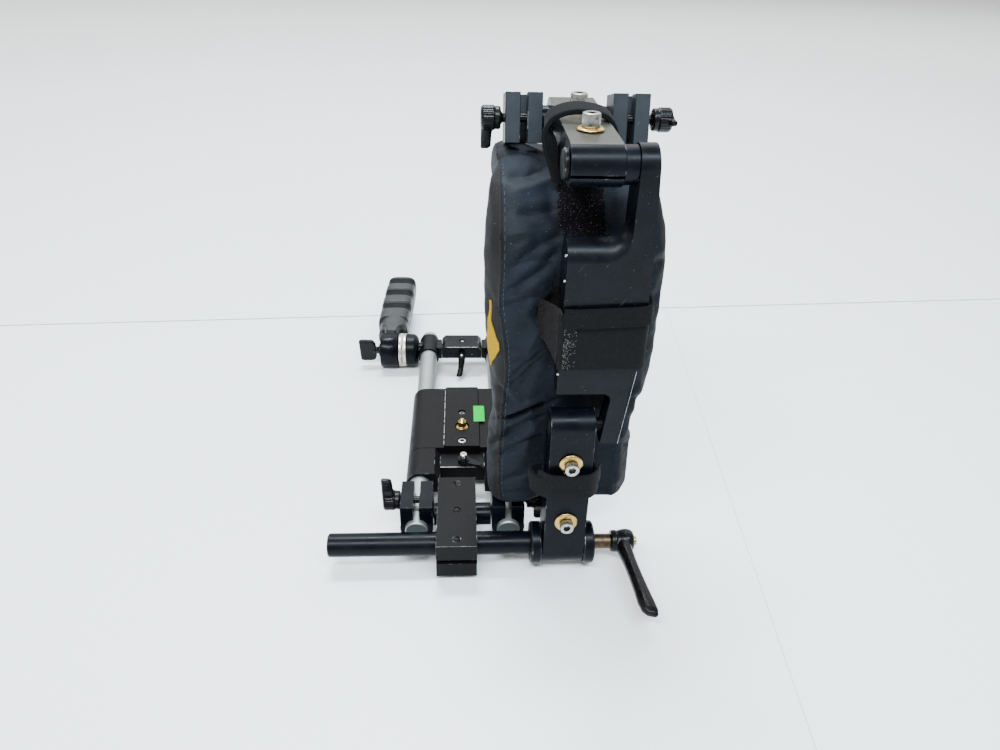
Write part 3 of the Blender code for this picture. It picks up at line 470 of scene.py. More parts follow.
def tube(bm, path, radius, steps=8):
    """A round line through points."""
    sections = []
    for i, point in enumerate(path):
        ahead = path[min(i + 1, len(path) - 1)] - path[max(i - 1, 0)]
        steep = abs(ahead.normalized().z) >= 0.9
        side = ahead.cross(Vector((0, 1, 0) if steep else (0, 0, 1))).normalized()
        across = ahead.cross(side).normalized()
        sections.append(oval(point, side * radius, across * radius, 1, steps))
    loft(bm, sections)


def catmull_rom(a, b, c, d, t):
    return 0.5 * ((2 * b) + (c - a) * t + (2 * a - 5 * b + 4 * c - d) * t ** 2
                  + (3 * b - a - 3 * c + d) * t ** 3)


def smooth_path(points, steps=6):
    """Smooth curve through given points."""
    points = [Vector(p) for p in points]
    ends = [points[0] * 2 - points[1]] + points + [points[-1] * 2 - points[-2]]
    path = [catmull_rom(*four, i / steps)
            for four in zip(ends, ends[1:], ends[2:], ends[3:]) for i in range(steps)]
    return path + points[-1:]


# ---- carried-over CAD pieces

BEVELS = {"offset_block": 0.7, "base_plate": 0.45, "base_lock_body": 0.45, "mid_link": 0.6,
          "left_rod": 0, "right_rod": 0, "offset_tube": 0}
EDGE_WIDTH = 0.35
EDGE_ANGLE = math.radians(38)
BLACK_EDGE = MATERIALS["black_anodised"][1]
# Finishes chosen per node. The rods' end-face copy is painted shade; the lighter copies on the top
# clamps and on the top link's upper faces are painted sheen.
FINISH = {"lever_stud": (BRONZE, BRONZE), "left_rod": (ROD_SATIN, ROD_END_PAINTED_SHADE),
          "right_rod": (ROD_SATIN, ROD_END_PAINTED_SHADE), "top_left_clamp": (CLAMP_PAINTED_SHEEN, BLACK_EDGE),
          "top_right_clamp": (CLAMP_PAINTED_SHEEN, BLACK_EDGE), "mid_link": (LINK_GREY, BLACK_EDGE),
          "top_link": (MATERIALS["black_anodised"][0], BLACK_EDGE, TOP_PAINTED_SHEEN)}


def carry(node):
    """A CAD node with broken, worn edges and its own finish."""
    bm = bmesh.new()
    bm.from_mesh(frame["nodes"][node].data)
    bmesh.ops.remove_doubles(bm, verts=bm.verts, dist=1e-6)
    bmesh.ops.dissolve_limit(bm, angle_limit=math.radians(1), verts=bm.verts, edges=bm.edges)
    for face in bm.faces:
        if node.endswith("_rod"):
            # Rods: the end faces turned towards the camera take the darker copy, painted shade.
            face.material_index = int(face.normal.y < -0.9)
        elif node == "top_link":
            # Top link: the upward faces take the lighter copy, painted sheen.
            face.material_index = 2 if face.normal.z > 0.95 else 0
    finish = FINISH.get(node, MATERIALS[SLOT_OF[node]])
    obj = add_object(f"{node}_shown", bm, finish, 180)
    width = BEVELS.get(node, EDGE_WIDTH)
    if width:
        modify(obj, "BEVEL", width=width * MM, segments=2, limit_method="ANGLE",
               angle_limit=EDGE_ANGLE, material=1)
    else:
        obj.data.set_sharp_from_angle(angle=EDGE_ANGLE)
    modify(obj, "WEIGHTED_NORMAL", keep_sharp=True, weight=100)
    apply_modifiers(obj)
    stand_for(obj, node)


# ---- knobs, levers and screws

FRONT_SCREW_AT = (27.5, 12.9)
TOP_SCREW_AT = (80.483, 246.121)
# Each station of a knob's wing: reach from the axis, half width and half thickness.
KNOB_WING = ((2, 3.3, 3.8), (6.5, 3.3, 3), (9, 3.1, 2),
             (12.5, 3, 1.5), (15.6, 2.9, 1.7), (16.9, 2.1, 1.1))
# Each station of the ratchet lever: share of its length, X, half width and half height.
LEVER_ARM = ((0, 103, 5.6, 5.6), (0.14, 103.4, 4.6, 5.4), (0.3, 104.6, 4.1, 4.6),
             (0.5, 106, 4.2, 4), (0.7, 107.4, 4.6, 3.7), (0.84, 108.3, 5.1, 3.5),
             (0.93, 109.2, 4.9, 3.1), (0.98, 110, 3.6, 2.2), (1, 110.6, 1.6, 1))
# Each station of the rear lever: share of its length, Y, Z, half width and half depth.
REAR_ARM = ((0, 233.5, 3, 3.4, 3), (0.2, 231, -0.6, 3.1, 2.6),
            (0.5, 228, -5.2, 2.5, 2.1), (0.8, 224.6, -10, 2.7, 2.2),
            (0.95, 223.4, -11.6, 2.8, 2), (1, 222.8, -12.4, 1.7, 1.2))
# Each station of the thumbscrew's wing: distance out, half width and half thickness.
THUMB_WING = ((4.6, 6, 2.6), (6.4, 9.6, 2.5), (8.5, 10.4, 2.4),
              (17, 10.6, 2.3), (18.8, 10.2, 2.1), (19.5, 9.2, 1.4))


def knob_rib(radius, ribs=22, depth=0.28):
    return lambda angle: radius - depth * (0.5 + 0.5 * math.cos(ribs * angle)) ** 2


def make_knob(node, side, centre, wing, inset=0, hang=0, size=1):
    """Ribbed barrel, collar, shank and a dished wing for the thumb."""
    low, high = rig_box(node)
    end, shank = (high.x - inset, low.x) if side > 0 else (low.x + inset, high.x)
    rows = [(0, 4.9), (0.4, 6), (1.1, 6.5), (1.6, knob_rib(6.8)), (7.2, knob_rib(6.8)),
            (7.6, 6.5), (8, 6.1), (8.4, 6.2), (10.4, 6.2), (11.2, 5.6), (11.3, 3.4),
            (11.9, 3.3), (12, 2.4), (abs(end - shank), 2.3)]
    bm = lathe((end, *centre), (-side, 0, 0), rows, 88)
    out = Vector((0, *wing))
    across = Vector((1, 0, 0)).cross(out)
    sections = []
    for reach, half_x, half_t in KNOB_WING:
        middle = Vector((end - side * (half_x + 0.15 + hang), *centre)) + out * reach * size
        sections.append(oval(middle, (half_x * size, 0, 0), across * half_t, 0.5))
    loft(bm, sections)
    show(node, bm, PLASTIC, melted=(0.3, 2))


def make_ratchet_lever():
    length = rig_box("ratchet_lever")[0].y
    rows = [(0, 6.2), (0.4, 6.9), (3.4, 7.1), (3.8, 6.7), (4.4, 6.7), (9, 7.7),
            (11.5, 7.6), (13.6, 6.9), (14.8, 5.6), (15.2, 3.3), (14.6, 2.8)]
    bm = lathe((95.4, 0, 0), (1, 0, 0), rows, 64)
    loft(bm, [oval((x, length * t, -1.2 * t), (half_x, -0.6, 0), (0, 0, half_z), 0.8)
              for t, x, half_x, half_z in LEVER_ARM])
    show("ratchet_lever", bm, PLASTIC, melted=(0.4, 3))


def make_rear_lever():
    low, high = rig_box("rear_clamp_lever")
    rows = [(0, 1.8), (7, 1.8), (7.4, 3), (12.2, 3), (12.9, 2.4), (13, 1)]
    bm = lathe((0, high.y, 3), (0, -1, 0), rows, 32)
    loft(bm, [oval((-2.6 * t * t, y, z), (wide, 0, 0), (0, deep, 0), 0.9, 16)
              for t, y, z, wide, deep in REAR_ARM])
    show("rear_clamp_lever", bm, PLASTIC, melted=(0.25, 2))
    bm = lathe((0, low.y + 8.9, 4.6), (0, -0.7, 0.7), [(0, 1), (0.7, 1), (0.9, 0.6)], 20)
    add_to("rear_clamp_lever", "rear_lever_pin", bm, STEEL)


def make_thumbscrew():
    """Rosette screw: stem, collar and a two-sided wing."""
    low, high = rig_box("grip_thumbscrew")
    rows = [(0, 3.6), (29.8, 3.6), (29.9, 5.6), (31.6, 5.7), (32.2, 3.6), (34, 3),
            (36, 3.4), (38.5, 2.2)]
    bm = lathe((high.x, GRIP_AXIS_Y, 0), (-1, 0, 0), rows, 40)
    loft(bm, [oval((low.x + 19.5 - out, GRIP_AXIS_Y, 0), (-0.06 * half, 0, half),
                   (0, thick, 0), 0.4) for out, half, thick in THUMB_WING])
    show("grip_thumbscrew", bm, PLASTIC, melted=(0.35, 2))


def hexagon_radius(size):
    """Distance to a hexagon's side at an angle, for a ring that meets its corners."""
    def radius(angle):
        turn = (angle + math.pi / 6) % (math.pi / 3) - math.pi / 6
        return size * math.cos(math.pi / 6) / math.cos(turn)
    return radius


def make_cap_screw(node, axis, head_radius, head, socket, shank, length, sink=0):
    """Socket cap screw built from its outer face inwards."""
    low, high = rig_box(node)
    along = Vector(axis)
    index = max(range(3), key=lambda i: abs(along[i]))
    face = (low + high) / 2
    face[index] = low[index] if along[index] > 0 else high[index]
    face += along * sink
    rib = knob_rib(head_radius, 36, 0.22)
    rows = [(head * 0.55, 0.3), (head * 0.55, hexagon_radius(socket)),
            (0.25, hexagon_radius(socket)), (0, hexagon_radius(socket + 0.3)),
            (0, head_radius - 0.7), (0.25, head_radius - 0.25), (0.7, rib),
            (head - 0.5, rib), (head - 0.1, head_radius - 0.3), (head, shank),
            (head + length, shank)]
    bm = lathe(face, along, rows, 144)
    # Faces inside the hex socket take the darker steel: painted shade in the recess.
    for bm_face in bm.faces:
        offset = bm_face.calc_center_median() - face
        deep = offset.dot(along)
        if (offset - along * deep).length < socket * 0.97 and 0.3 < deep < head * 0.6:
            bm_face.material_index = 1
    show(node, bm, [SCREW_STEEL, SOCKET_PAINTED_SHADE], 32)


def make_block_threads():
    """Crests of the tapped threads inside the offset block's three holes."""
    for hole, hole_y in enumerate((-9.8, 17.2, 43.4)):
        bm = bmesh.new()
        down = Vector((0, 0, -1))
        side = down.orthogonal().normalized() * 2.62
        for turn in range(8):
            centre = Vector((-3.7, hole_y, 12)) + down * 0.8 * (turn + 0.5)
            loop = oval(centre, side, down.cross(side))
            tube(bm, loop + loop[:1], 0.16, 6)
        add_to("offset_block", f"block_thread_{hole}", bm, STEEL)


# ---- rosette and handgrip

GRIP_AXIS_Y = 250
GRIP_CENTRE_X = -66.3
GRIP_SPLAY = 0.061
GRIP_TILT = math.radians(8)


def grip_point(distance, across, lift):
    y = GRIP_AXIS_Y + distance * math.cos(GRIP_TILT) - lift * math.sin(GRIP_TILT)
    z = distance * math.sin(GRIP_TILT) + lift * math.cos(GRIP_TILT)
    return Vector((GRIP_CENTRE_X + GRIP_SPLAY * distance + across, y, z))


def make_rosette_ring():
    """Two bright toothed halves that mesh along a zigzag seam."""
    low, high = rig_box("rosette_ring")
    width, radius, teeth = high.x - low.x, high.z, 54
    rows = [(0, 4.5), (0, radius - 1.2), (0.5, radius - 0.2)]
    for i in range(21):
        place = 0.8 + (width - 1.6) * i / 20

        def seam(angle, place=place):
            saw = 0.9 * math.asin(math.sin(teeth * angle)) / (math.pi / 2)
            gap = (place - width / 2 - saw) / 0.45
            return radius - 0.9 * math.exp(-gap * gap)
        rows.append((place, seam))
    rows += [(width - 0.5, radius - 0.2), (width, radius - 1.2), (width, 4.5)]
    bm = lathe((low.x, GRIP_AXIS_Y, 0), (1, 0, 0), rows, teeth * 8)
    show("rosette_ring", bm, [RING_METAL], 60)


def groove_depth(distance):
    """Finger grooves with a steep far wall that run out gently towards the wrist."""
    backs = [far - distance for far in (105.5, 83.5, 61.5)]
    return max(smooth_step(back, 0, 1) * (1 - smooth_step(back, 5, 14.5))
               for back in backs)


def mark(bm, verts, index):
    """Give a material to the faces whose corners are all in the set."""
    for face in bm.faces:
        if all(vert in verts for vert in face.verts):
            face.material_index = index


def make_grip_sleeve():
    bm = bmesh.new()
    rings, shaded_groove = [], set()
    for distance in [36 + 0.9 * i for i in range(80)] + [108, 108.7, 109]:
        end = max(distance - 104, 0) / 5
        rounding = math.sqrt(max(1 - 0.5 * end ** 2.6, 0.05)) if end else 1
        swell = 1 + 0.04 * math.sin(math.pi * (distance - 36) / 70)
        dip = groove_depth(distance)
        ring = []
        for angle in angles(64):
            u, v = rounded(angle, 0.55)
            up = smooth_step(math.sin(angle), 0.03, 0.3)
            lift = 12.9 * swell * v * rounding - 1.5 * dip * up
            across = 14.2 * swell * u * rounding - 1
            ring.append(bm.verts.new(grip_point(distance, across, lift)))
        rings.append(ring)
        # The groove bands on the upper face take the near-black rubber: painted shade in the
        # finger grooves.
        if dip > 0.25:
            shaded_groove.update(ring[3:30])
    join_rings(bm, rings)
    mark(bm, shaded_groove, 1)
    show("grip_sleeve", bm, [GRIP_GREY, PAINTED_SHADE_DARK], 60)


def make_grip_core():
    """Rosette disc and the flared lug, with painted shade in a scoop on each side of a central
    fin.
    """
    low, high = -74, -58.3
    radius = 15.5
    rows = [(0, 4.4), (0, radius - 0.7), (0.25, radius - 0.2), (0.7, radius),
            (high - low - 0.6, radius), (high - low - 0.1, radius - 0.4), (high - low, 4.4)]
    bm = lathe((low, GRIP_AXIS_Y, 0), (1, 0, 0), rows, 96)
    rings, shaded_scoop = [], set()
    for k in range(60):
        distance = 2 + 35 * k / 59
        flare = smooth_step(distance, 2, 22)
        inner = 0.42 + 0.45 * smooth_step(distance, 19, 28)
        reach = smooth_step(distance, 7, 10) * (1 - smooth_step(distance, 26, 28.5))
        ring = []
        for angle in angles(72):
            u, v = rounded(angle, 0.75)
            scoop = smooth_step(abs(u), inner, inner + 0.12) * reach
            cut = math.copysign(5 * scoop * smooth_step(abs(v), 0.1, 0.5), v)
            lift = (12 + flare) * v - cut
            ring.append(bm.verts.new(grip_point(distance, (7.6 + 5.6 * flare) * u, lift)))
            if scoop > 0.6:
                shaded_scoop.add(ring[-1])
        rings.append(ring)
    join_rings(bm, rings)
    # Scoop faces take the near-black rubber: painted shade.
    mark(bm, shaded_scoop, 1)
    for face in bm.faces:
        if (face.calc_center_median().y - GRIP_AXIS_Y) < 12:
            face.material_index = 2
    show("grip_core", bm, [GRIP_GREY, PAINTED_SHADE_DARK, MATERIALS["black_anodised"][0]], 45)


# ---- the pad

PAD_Y, PAD_LOW, PAD_FAR = 29, 20.6, 112
ARC_Z, ARC_RADIUS = 183, 30
STRAIGHT = ARC_Z - PAD_LOW
BEND = ARC_RADIUS * math.pi / 2
PAD_LENGTH = STRAIGHT + BEND + PAD_FAR - PAD_Y - ARC_RADIUS
PAD_OUT, PAD_IN = 12.6, -13.2
PAD_CUT = 151

LEFT_SIDE = ((18, 17), (26, 17.4), (46, 16.4), (67, 17.2), (90, 16.4), (120, 15.2), (150, 14),
             (170, 12.6), (190, 11.4), (203, 13.6), (214, 17.6), (222, 18.6), (300, 19))
RIGHT_SIDE = ((18, 98), (27, 105), (42, 105.5), (64, 105), (82, 104), (92, 107.5), (104, 111),
              (130, 112), (152, 112), (182, 111), (199, 108.5), (212, 104.5), (300, 103))
SEAM_X = ((18, 25), (40, 22.5), (92, 23.5), (123, 25), (137, 24), (161, 20.5), (189, 20.5),
          (213, 20.5), (300, 21.5))

EYE = Vector((0, -344, 339))
FACE_Y = 9

# Each fold: its line on the plane Y 9 seen from the front, its depth and its half width.
FOLDS = (
    (((44, 242), (40, 239), (34, 236), (24, 235)), 1.4, 3),
    (((48, 234), (35, 229), (24, 225)), -1.1, 4),
    (((49, 218), (38, 217), (29, 216)), 0.9, 2.2),
    (((49, 208), (36, 206), (23, 204)), -1, 4.5),
    (((50, 204), (40, 199), (29, 190)), 1.5, 2.2),
    (((51, 195), (43, 189)), 0.9, 1.8),
    (((50, 193), (37, 190), (24, 186)), 1.6, 3.2),
    (((48, 189), (34, 179), (24, 171)), 2.1, 2.4),
    (((51, 179), (41, 170), (30, 166), (20, 163)), 1.5, 2.4),
    (((52, 171), (43, 163), (40, 157)), 2.6, 2.8),
    (((43, 152), (36, 136), (25, 131)), -1.8, 3.2),
    (((46, 138), (36, 128), (27, 118)), 1.5, 1.3),
    (((47, 134), (38, 125), (28, 114)), 1.3, 1.2),
    (((56, 104), (41, 98), (25, 90)), 4.2, 1.9),
    (((17, 115), (23, 109), (27, 102), (21, 99)), 2.4, 2.4),
    (((34, 113), (37, 120), (43, 129)), 1.3, 2),
    (((47, 96), (34, 87), (22, 77)), 2, 2.6),
    (((14, 90), (32, 93), (47, 100)), 1.2, 1.6),
    (((17, 73), (31, 82), (49, 93)), 1.7, 1.8),
    (((20, 63), (34, 71), (48, 79)), 1.9, 2),
    (((42, 50), (30, 45), (21, 41)), 1.8, 3.2),
    (((45, 37), (34, 34), (22, 33)), 1, 2.8),
    (((80, 34), (92, 38), (104, 36)), 1.2, 3.2),
    (((80, 78), (92, 72), (104, 70)), 1.5, 2.8),
    (((84, 120), (96, 104), (108, 101)), 1.8, 3),
    (((97, 150), (103, 146), (109, 141)), 1.4, 2.6),
    (((97, 184), (103, 190), (109, 193)), 1.3, 2.8),
)


def along(table, value):
    """Straight-line value between listed stations."""
    for (a, x), (b, y) in zip(table, table[1:]):
        if value <= b:
            return x + (y - x) * max(value - a, 0) / (b - a)
    return table[-1][1]


def spine(s):
    """Middle line of the pad and the way it faces, measured up from the lower end."""
    if s < STRAIGHT:
        return Vector((0, PAD_Y, PAD_LOW + s)), Vector((0, -1, 0))
    if s < STRAIGHT + BEND:
        a = (s - STRAIGHT) / ARC_RADIUS
        facing = Vector((0, -math.cos(a), math.sin(a)))
        return Vector((0, PAD_Y + ARC_RADIUS, ARC_Z)) + facing * ARC_RADIUS, facing
    run = s - STRAIGHT - BEND
    return Vector((0, PAD_Y + ARC_RADIUS + run, ARC_Z + ARC_RADIUS)), Vector((0, 0, 1))


def pad_station(s):
    return PAD_LOW + s if s < STRAIGHT else ARC_Z + (s - STRAIGHT) * 0.64


def pad_section(s):
    middle, facing = spine(s)
    station = pad_station(s)
    left, right = along(LEFT_SIDE, station), along(RIGHT_SIDE, station)
    lobe = 5 - 3.6 * smooth_step(s, STRAIGHT - 12, STRAIGHT + BEND)
    lobe *= 0.75 + 0.25 * smooth_step(s, 0, 8)
    end = min(s, PAD_LENGTH - s)
    squeeze = math.sqrt(max(1 - (1 - min(end / 5, 1)) ** 2, 0)) * 0.3 + 0.7
    front, back = PAD_OUT * squeeze, PAD_IN * squeeze
    crisp = smooth_step(station, 196, 208)
    corner = 5.5 - 2.8 * crisp
    outline = [(left + corner, front + lobe - 2), (left + corner + 7, front + lobe + 0.4),
               (38, front + lobe), (44.5, front + lobe - 1.4), (49, front), (60, front),
               (80, front), (93, front), (right - 9, front + 1.2), (right - 4, front - 0.4),
               (right - 0.6, front - 5), (right, 0), (right - 1, back + 6), (right - 5, back + 1),
               (right - 16, back), (60, back - 0.3), (left + 16, back), (left + 5, back + 1),
               (left + 1, back + 6), (left, 0),
               (left + 1.4 - 1.2 * crisp, front + lobe * 0.5 - 7 + 2 * crisp)]
    corners = [Vector(point) for point in outline]
    count = len(corners)
    points = []
    for i in range(count):
        four = [corners[(i + k) % count] for k in (-1, 0, 1, 2)]
        for k in range(4):
            u, v = catmull_rom(*four, k / 4)
            points.append(middle + facing * v + Vector((u, 0, 0)))
    return points


def swell(obj):
    """Blow the cover up as cloth, held where the links press on it, close to its start."""
    base = [vert.co.copy() for vert in obj.data.vertices]
    group = obj.vertex_groups.new(name="held")
    for vert in obj.data.vertices:
        x, y, z = (vert.co - ORIGIN) / MM
        front = y < 24 or (z > 218 and y > 40)
        held = smooth_step(x, 44, 50) * (1 - smooth_step(x, 95, 101))
        group.add([vert.index], held if front else 0, "REPLACE")
    settings = modify(obj, "CLOTH").settings
    settings.quality = 6
    settings.mass = 0.2
    settings.tension_stiffness = settings.compression_stiffness = 12
    settings.bending_stiffness = 1.2
    settings.shrink_min = -0.025
    settings.vertex_group_mass = "held"
    settings.use_pressure = True
    settings.uniform_pressure_force = 3.2
    settings.effector_weights.gravity = 0
    scene = bpy.context.scene
    for step in range(1, 21):
        scene.frame_set(step)
    depsgraph = bpy.context.evaluated_depsgraph_get()
    moved = [vert.co.copy() for vert in obj.evaluated_get(depsgraph).data.vertices]
    obj.modifiers.clear()
    obj.vertex_groups.clear()
    scene.frame_set(1)
    limit = 2.4 * MM
    for vert, start, end in zip(obj.data.vertices, base, moved):
        shift = end - start
        if shift.length > limit:
            shift *= limit / shift.length
        vert.co = start + shift


def fold_height(place):
    """Height of the listed folds at a point, seen from the front."""
    reach = (FACE_Y - EYE.y) / (place.y - EYE.y)
    x = EYE.x + (place.x - EYE.x) * reach
    z = EYE.z + (place.z - EYE.z) * reach
    height = 0
    for line, depth, width in FOLDS:
        heights = [p[1] for p in line]
        if not min(heights) - 4 * width < z < max(heights) + 4 * width:
            continue
        lengths = [math.dist(a, b) for a, b in zip(line, line[1:])]
        total, best, before = sum(lengths), None, 0
        for (ax, az), (bx, bz), length in zip(line, line[1:], lengths):
            t = ((x - ax) * (bx - ax) + (z - az) * (bz - az)) / length ** 2
            raw = before + t * length
            t = min(max(t, 0), 1)
            dx, dz = x - ax - (bx - ax) * t, z - az - (bz - az) * t
            distance = math.hypot(dx, dz)
            if best is None or distance < best[0]:
                best = (distance, math.copysign(distance, dz), raw)
            before += length
        distance, signed, run = best
        if distance > 4 * width:
            continue
        fade = smooth_step(run, -3, 4) * (1 - smooth_step(run, total - 5, total + 4))
        valley = math.exp(-abs(signed / width) ** 1.2)
        ridge = math.exp(-((signed - 2.1 * width) / (1.2 * width)) ** 2)
        under = math.exp(-((signed + 2.2 * width) / (1.3 * width)) ** 2)
        height += 1.3 * depth * fade * (-valley + 0.42 * ridge + 0.18 * under)
    return height


def press_folds(obj):
    """Soft waves and the folds, with the cover kept flat behind the links."""
    mesh = obj.data
    normals = [vert.normal.copy() for vert in mesh.vertices]
    flat_y = ORIGIN.y + 13.6 * MM
    for vert, normal in zip(mesh.vertices, normals):
        place = (vert.co - ORIGIN) / MM
        facing = smooth_step(-normal.y * 0.8 + normal.z * 0.55, 0, 0.55)
        soft = noise.noise(place * 0.045) * 0.5 + noise.noise(place * 0.13) * 0.35
        height = soft + fold_height(place) * facing
        linked = 49.5 < place.x < 97.5 and (place.y < 18 or place.z > 222)
        if linked:
            height = min(height * 0.4, 0.2)
        vert.co += normal * height * MM
        if linked and place.z < 226 and vert.co.y < flat_y:
            vert.co.y = flat_y


# Loop panels sewn on behind the links: lowest and highest X and Z, and their material.
LOOP_PANELS = ((53.5, 75.5, 160, 232, 2), (51, 75.5, 204, 232, 2), (75.5, 92, 225, 242, 3),
               (76.5, 90, 92, 122, 3))


def paint_regions(obj):
    """Side panels, loop panels, and the tongue of loop under the main strap's left end."""
    for face in obj.data.polygons:
        place = (face.center - ORIGIN) / MM
        seam = along(SEAM_X, place.z)
        if place.x < seam or place.x > 98 and face.normal.x > 0.45:
            face.material_index = 1
        if place.y >= 62 or -face.normal.y * 0.8 + face.normal.z * 0.55 <= 0.2:
            continue
        x = place.x + noise.noise(place * 0.4) * 1.2
        z = place.z + noise.noise(place * 0.4 + ORIGIN) * 1.2
        for left, right, low, high, material in LOOP_PANELS:
            if left < x < right and low < z < high:
                face.material_index = material
        tongue = 47.5 - 7 * smooth_step(z, 138, 158) * (1 - smooth_step(z, 158, 173))
        if tongue < x < 53 and 134 < z < 173:
            face.material_index = 3


def make_pad():
    bm = bmesh.new()
    loft(bm, [pad_section(PAD_LENGTH * i / 72) for i in range(73)])
    materials = [*MATERIALS["pad_nylon"], LOOP_PATCH, LOOP_DULL]
    obj = add_object("pad_cover", to_frame(bm), materials, 180)
    modify(obj, "REMESH", mode="VOXEL", voxel_size=4 * MM)
    apply_modifiers(obj)
    swell(obj)
    modify(obj, "SUBSURF", levels=2, render_levels=2)
    apply_modifiers(obj)
    obj.data.materials.clear()
    for material in materials:
        obj.data.materials.append(material)
    obj.data.shade_smooth()
    press_folds(obj)
    obj.data.update()
    paint_regions(obj)
    return obj


def half_pad(whole, name, upper):
    """One closed half of the cover, shaded as if it were still whole."""
    kept = [(vert.co.copy(), vert.normal.copy()) for vert in whole.data.vertices]
    bm = bmesh.new()
    bm.from_mesh(whole.data)
    plane = rig(0, 0, PAD_CUT)
    bmesh.ops.bisect_plane(bm, geom=bm.verts[:] + bm.edges[:] + bm.faces[:], dist=1e-6,
                           plane_co=plane, plane_no=(0, 0, 1), clear_inner=upper,
                           clear_outer=not upper)
    bmesh.ops.holes_fill(bm, edges=[edge for edge in bm.edges if edge.is_boundary], sides=0)
    mesh = new_mesh(name, bm, whole.data.materials)
    mesh.shade_smooth()
    tree = BVHTree.FromObject(whole, bpy.context.evaluated_depsgraph_get())
    normals = []
    for vert in mesh.vertices:
        normal = vert.normal.copy()
        if abs(vert.co.z - plane.z) < 2 * MM:
            _, _, index, _ = tree.find_nearest(vert.co)
            near = [kept[i] for i in whole.data.polygons[index].vertices]
            normal = sum((n / ((co - vert.co).length + 1e-5) for co, n in near), Vector())
            normal.normalize()
        normals.append(normal)
    mesh.normals_split_custom_set_from_vertices(normals)
    return new_object(name, mesh)


def bend_with(obj, upper):
    if upper:
        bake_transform(obj)
    else:
        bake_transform(obj)


def on_pad(tree, s, x, lift):
    """A point above the cover's outer face, at a place along the spine."""
    middle, facing = spine(s)
    start = rig(*(middle + facing * 45 + Vector((x, 0, 0))))
    hit, normal, _, _ = tree.ray_cast(start, -facing)
    return (hit - ORIGIN) / MM + normal * lift if hit else None


def make_piping(tree, upper):
    """Bound seam along the pad's left edge, with its row of stitches."""
    half = "upper" if upper else "lower"
    cut = PAD_CUT - PAD_LOW
    stops = [5 + 2 * i for i in range(int((PAD_LENGTH - 12) / 2))]
    stops = [cut] * upper + [s for s in stops if (s >= cut) == upper] + [cut] * (not upper)
    points = [on_pad(tree, s, along(SEAM_X, pad_station(s)), 0.1) for s in stops]
    bm = bmesh.new()
    tube(bm, [point for point in points if point], 0.75)
    seam = add_object(f"pad_piping_{half}", to_frame(bm), [MATERIALS["pad_nylon"][1]], 80)
    bend_with(seam, upper)
    bm = bmesh.new()
    s = cut + 2 if upper else 8
    while s < (PAD_LENGTH - 12 if upper else cut - 4):
        side = along(SEAM_X, pad_station(s)) + 2
        first = on_pad(tree, s, side, 0.12)
        second = on_pad(tree, s + 1.9, side + 0.1, 0.12)
        if first and second:
            tube(bm, [first, (first + second) / 2, second], 0.22, 5)
        s += 3.1
    bend_with(add_object(f"pad_stitches_{half}", to_frame(bm), [THREAD], 80), upper)


def rim(rows):
    """The outermost points of a grid, in order."""
    return (rows[0] + [row[-1] for row in rows[1:]] + rows[-1][-2::-1]
            + [row[0] for row in rows[-2:0:-1]])


# Outline of the patch at each height: middle and half width along Y, from the top down.
PATCH_MIDDLE = ((-162, 20.5), (-156, 20.2), (-150, 19.6), (-145, 18.6), (-139, 17.6),
                (-134, 17.5), (-129, 18.5), (-125, 19.5), (-120, 21))
PATCH_HALF = ((-162, 0.6), (-156, 0.9), (-150, 1.5), (-145, 3), (-139, 5.6),
              (-134, 6), (-129, 4.4), (-125, 2.2), (-120, 0.6))


def make_patch(whole_tree):
    """Leaf-shaped yellow patch sewn on the left side panel."""
    bm = bmesh.new()
    outer, inner = [], []
    way = Vector((1, 0.35, 0)).normalized()
    for z in range(162, 119, -1):
        outer.append([])
        inner.append([])
        for i in range(9):
            y = along(PATCH_MIDDLE, -z) + along(PATCH_HALF, -z) * (i - 4) / 4
            hit, normal, _, _ = whole_tree.ray_cast(rig(-20, y - 12, z), way)
            if hit is None:
                raise ValueError("the patch misses the pad")
            point = (hit - ORIGIN) / MM
            outer[-1].append(bm.verts.new(point + normal * 0.55))
            inner[-1].append(bm.verts.new(point - normal * 0.3))
    join_grid(bm, outer)
    join_grid(bm, inner)
    upper, under = rim(outer), rim(inner)
    for a, b, c, d in zip(upper, upper[1:] + upper[:1], under[1:] + under[:1], under):
        bm.faces.new((a, b, c, d))
    obj = add_object("pad_patch", to_frame(bm), [PATCH_YELLOW], 60)
    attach(obj, "mid_link")


# ---- straps

def ribbon(bm, path, across, width, thick):
    """A woven band with rounded edges; across and width may change along the path."""
    sections = []
    for i, point in enumerate(path):
        t = i / (len(path) - 1)
        ahead = (path[min(i + 1, len(path) - 1)] - path[max(i - 1, 0)]).normalized()
        side = across(t) if callable(across) else Vector(across)
        side = (side - ahead * side.dot(ahead)).normalized()
        sections.append(oval(point, side * width(t) / 2, ahead.cross(side) * thick / 2, 0.3, 36))
    loft(bm, sections)
    return sum((b - a).length for a, b in zip(path, path[1:]))


def strap(name, points, across, width, thick, node):
    path = smooth_path(points)
    bm = bmesh.new()
    length = ribbon(bm, path, across, width, thick)
    if name == f"{node}_shown":
        obj = show(node, bm, MATERIALS["hook_and_loop"], 60)
    else:
        obj = add_to(node, name, bm, MATERIALS["hook_and_loop"], sharp=60)
    wide = sum(width(i / 20) for i in range(21)) / 21
    return obj


def widening(start, gain, low=0, high=1):
    return lambda t: start + gain * smooth_step(t, low, high)


def top_strap_across(t):
    turn = 1 - smooth_step(t, 0.15, 0.42)
    return Vector((0.72 * turn, 1 - 0.3 * turn, 0.12))


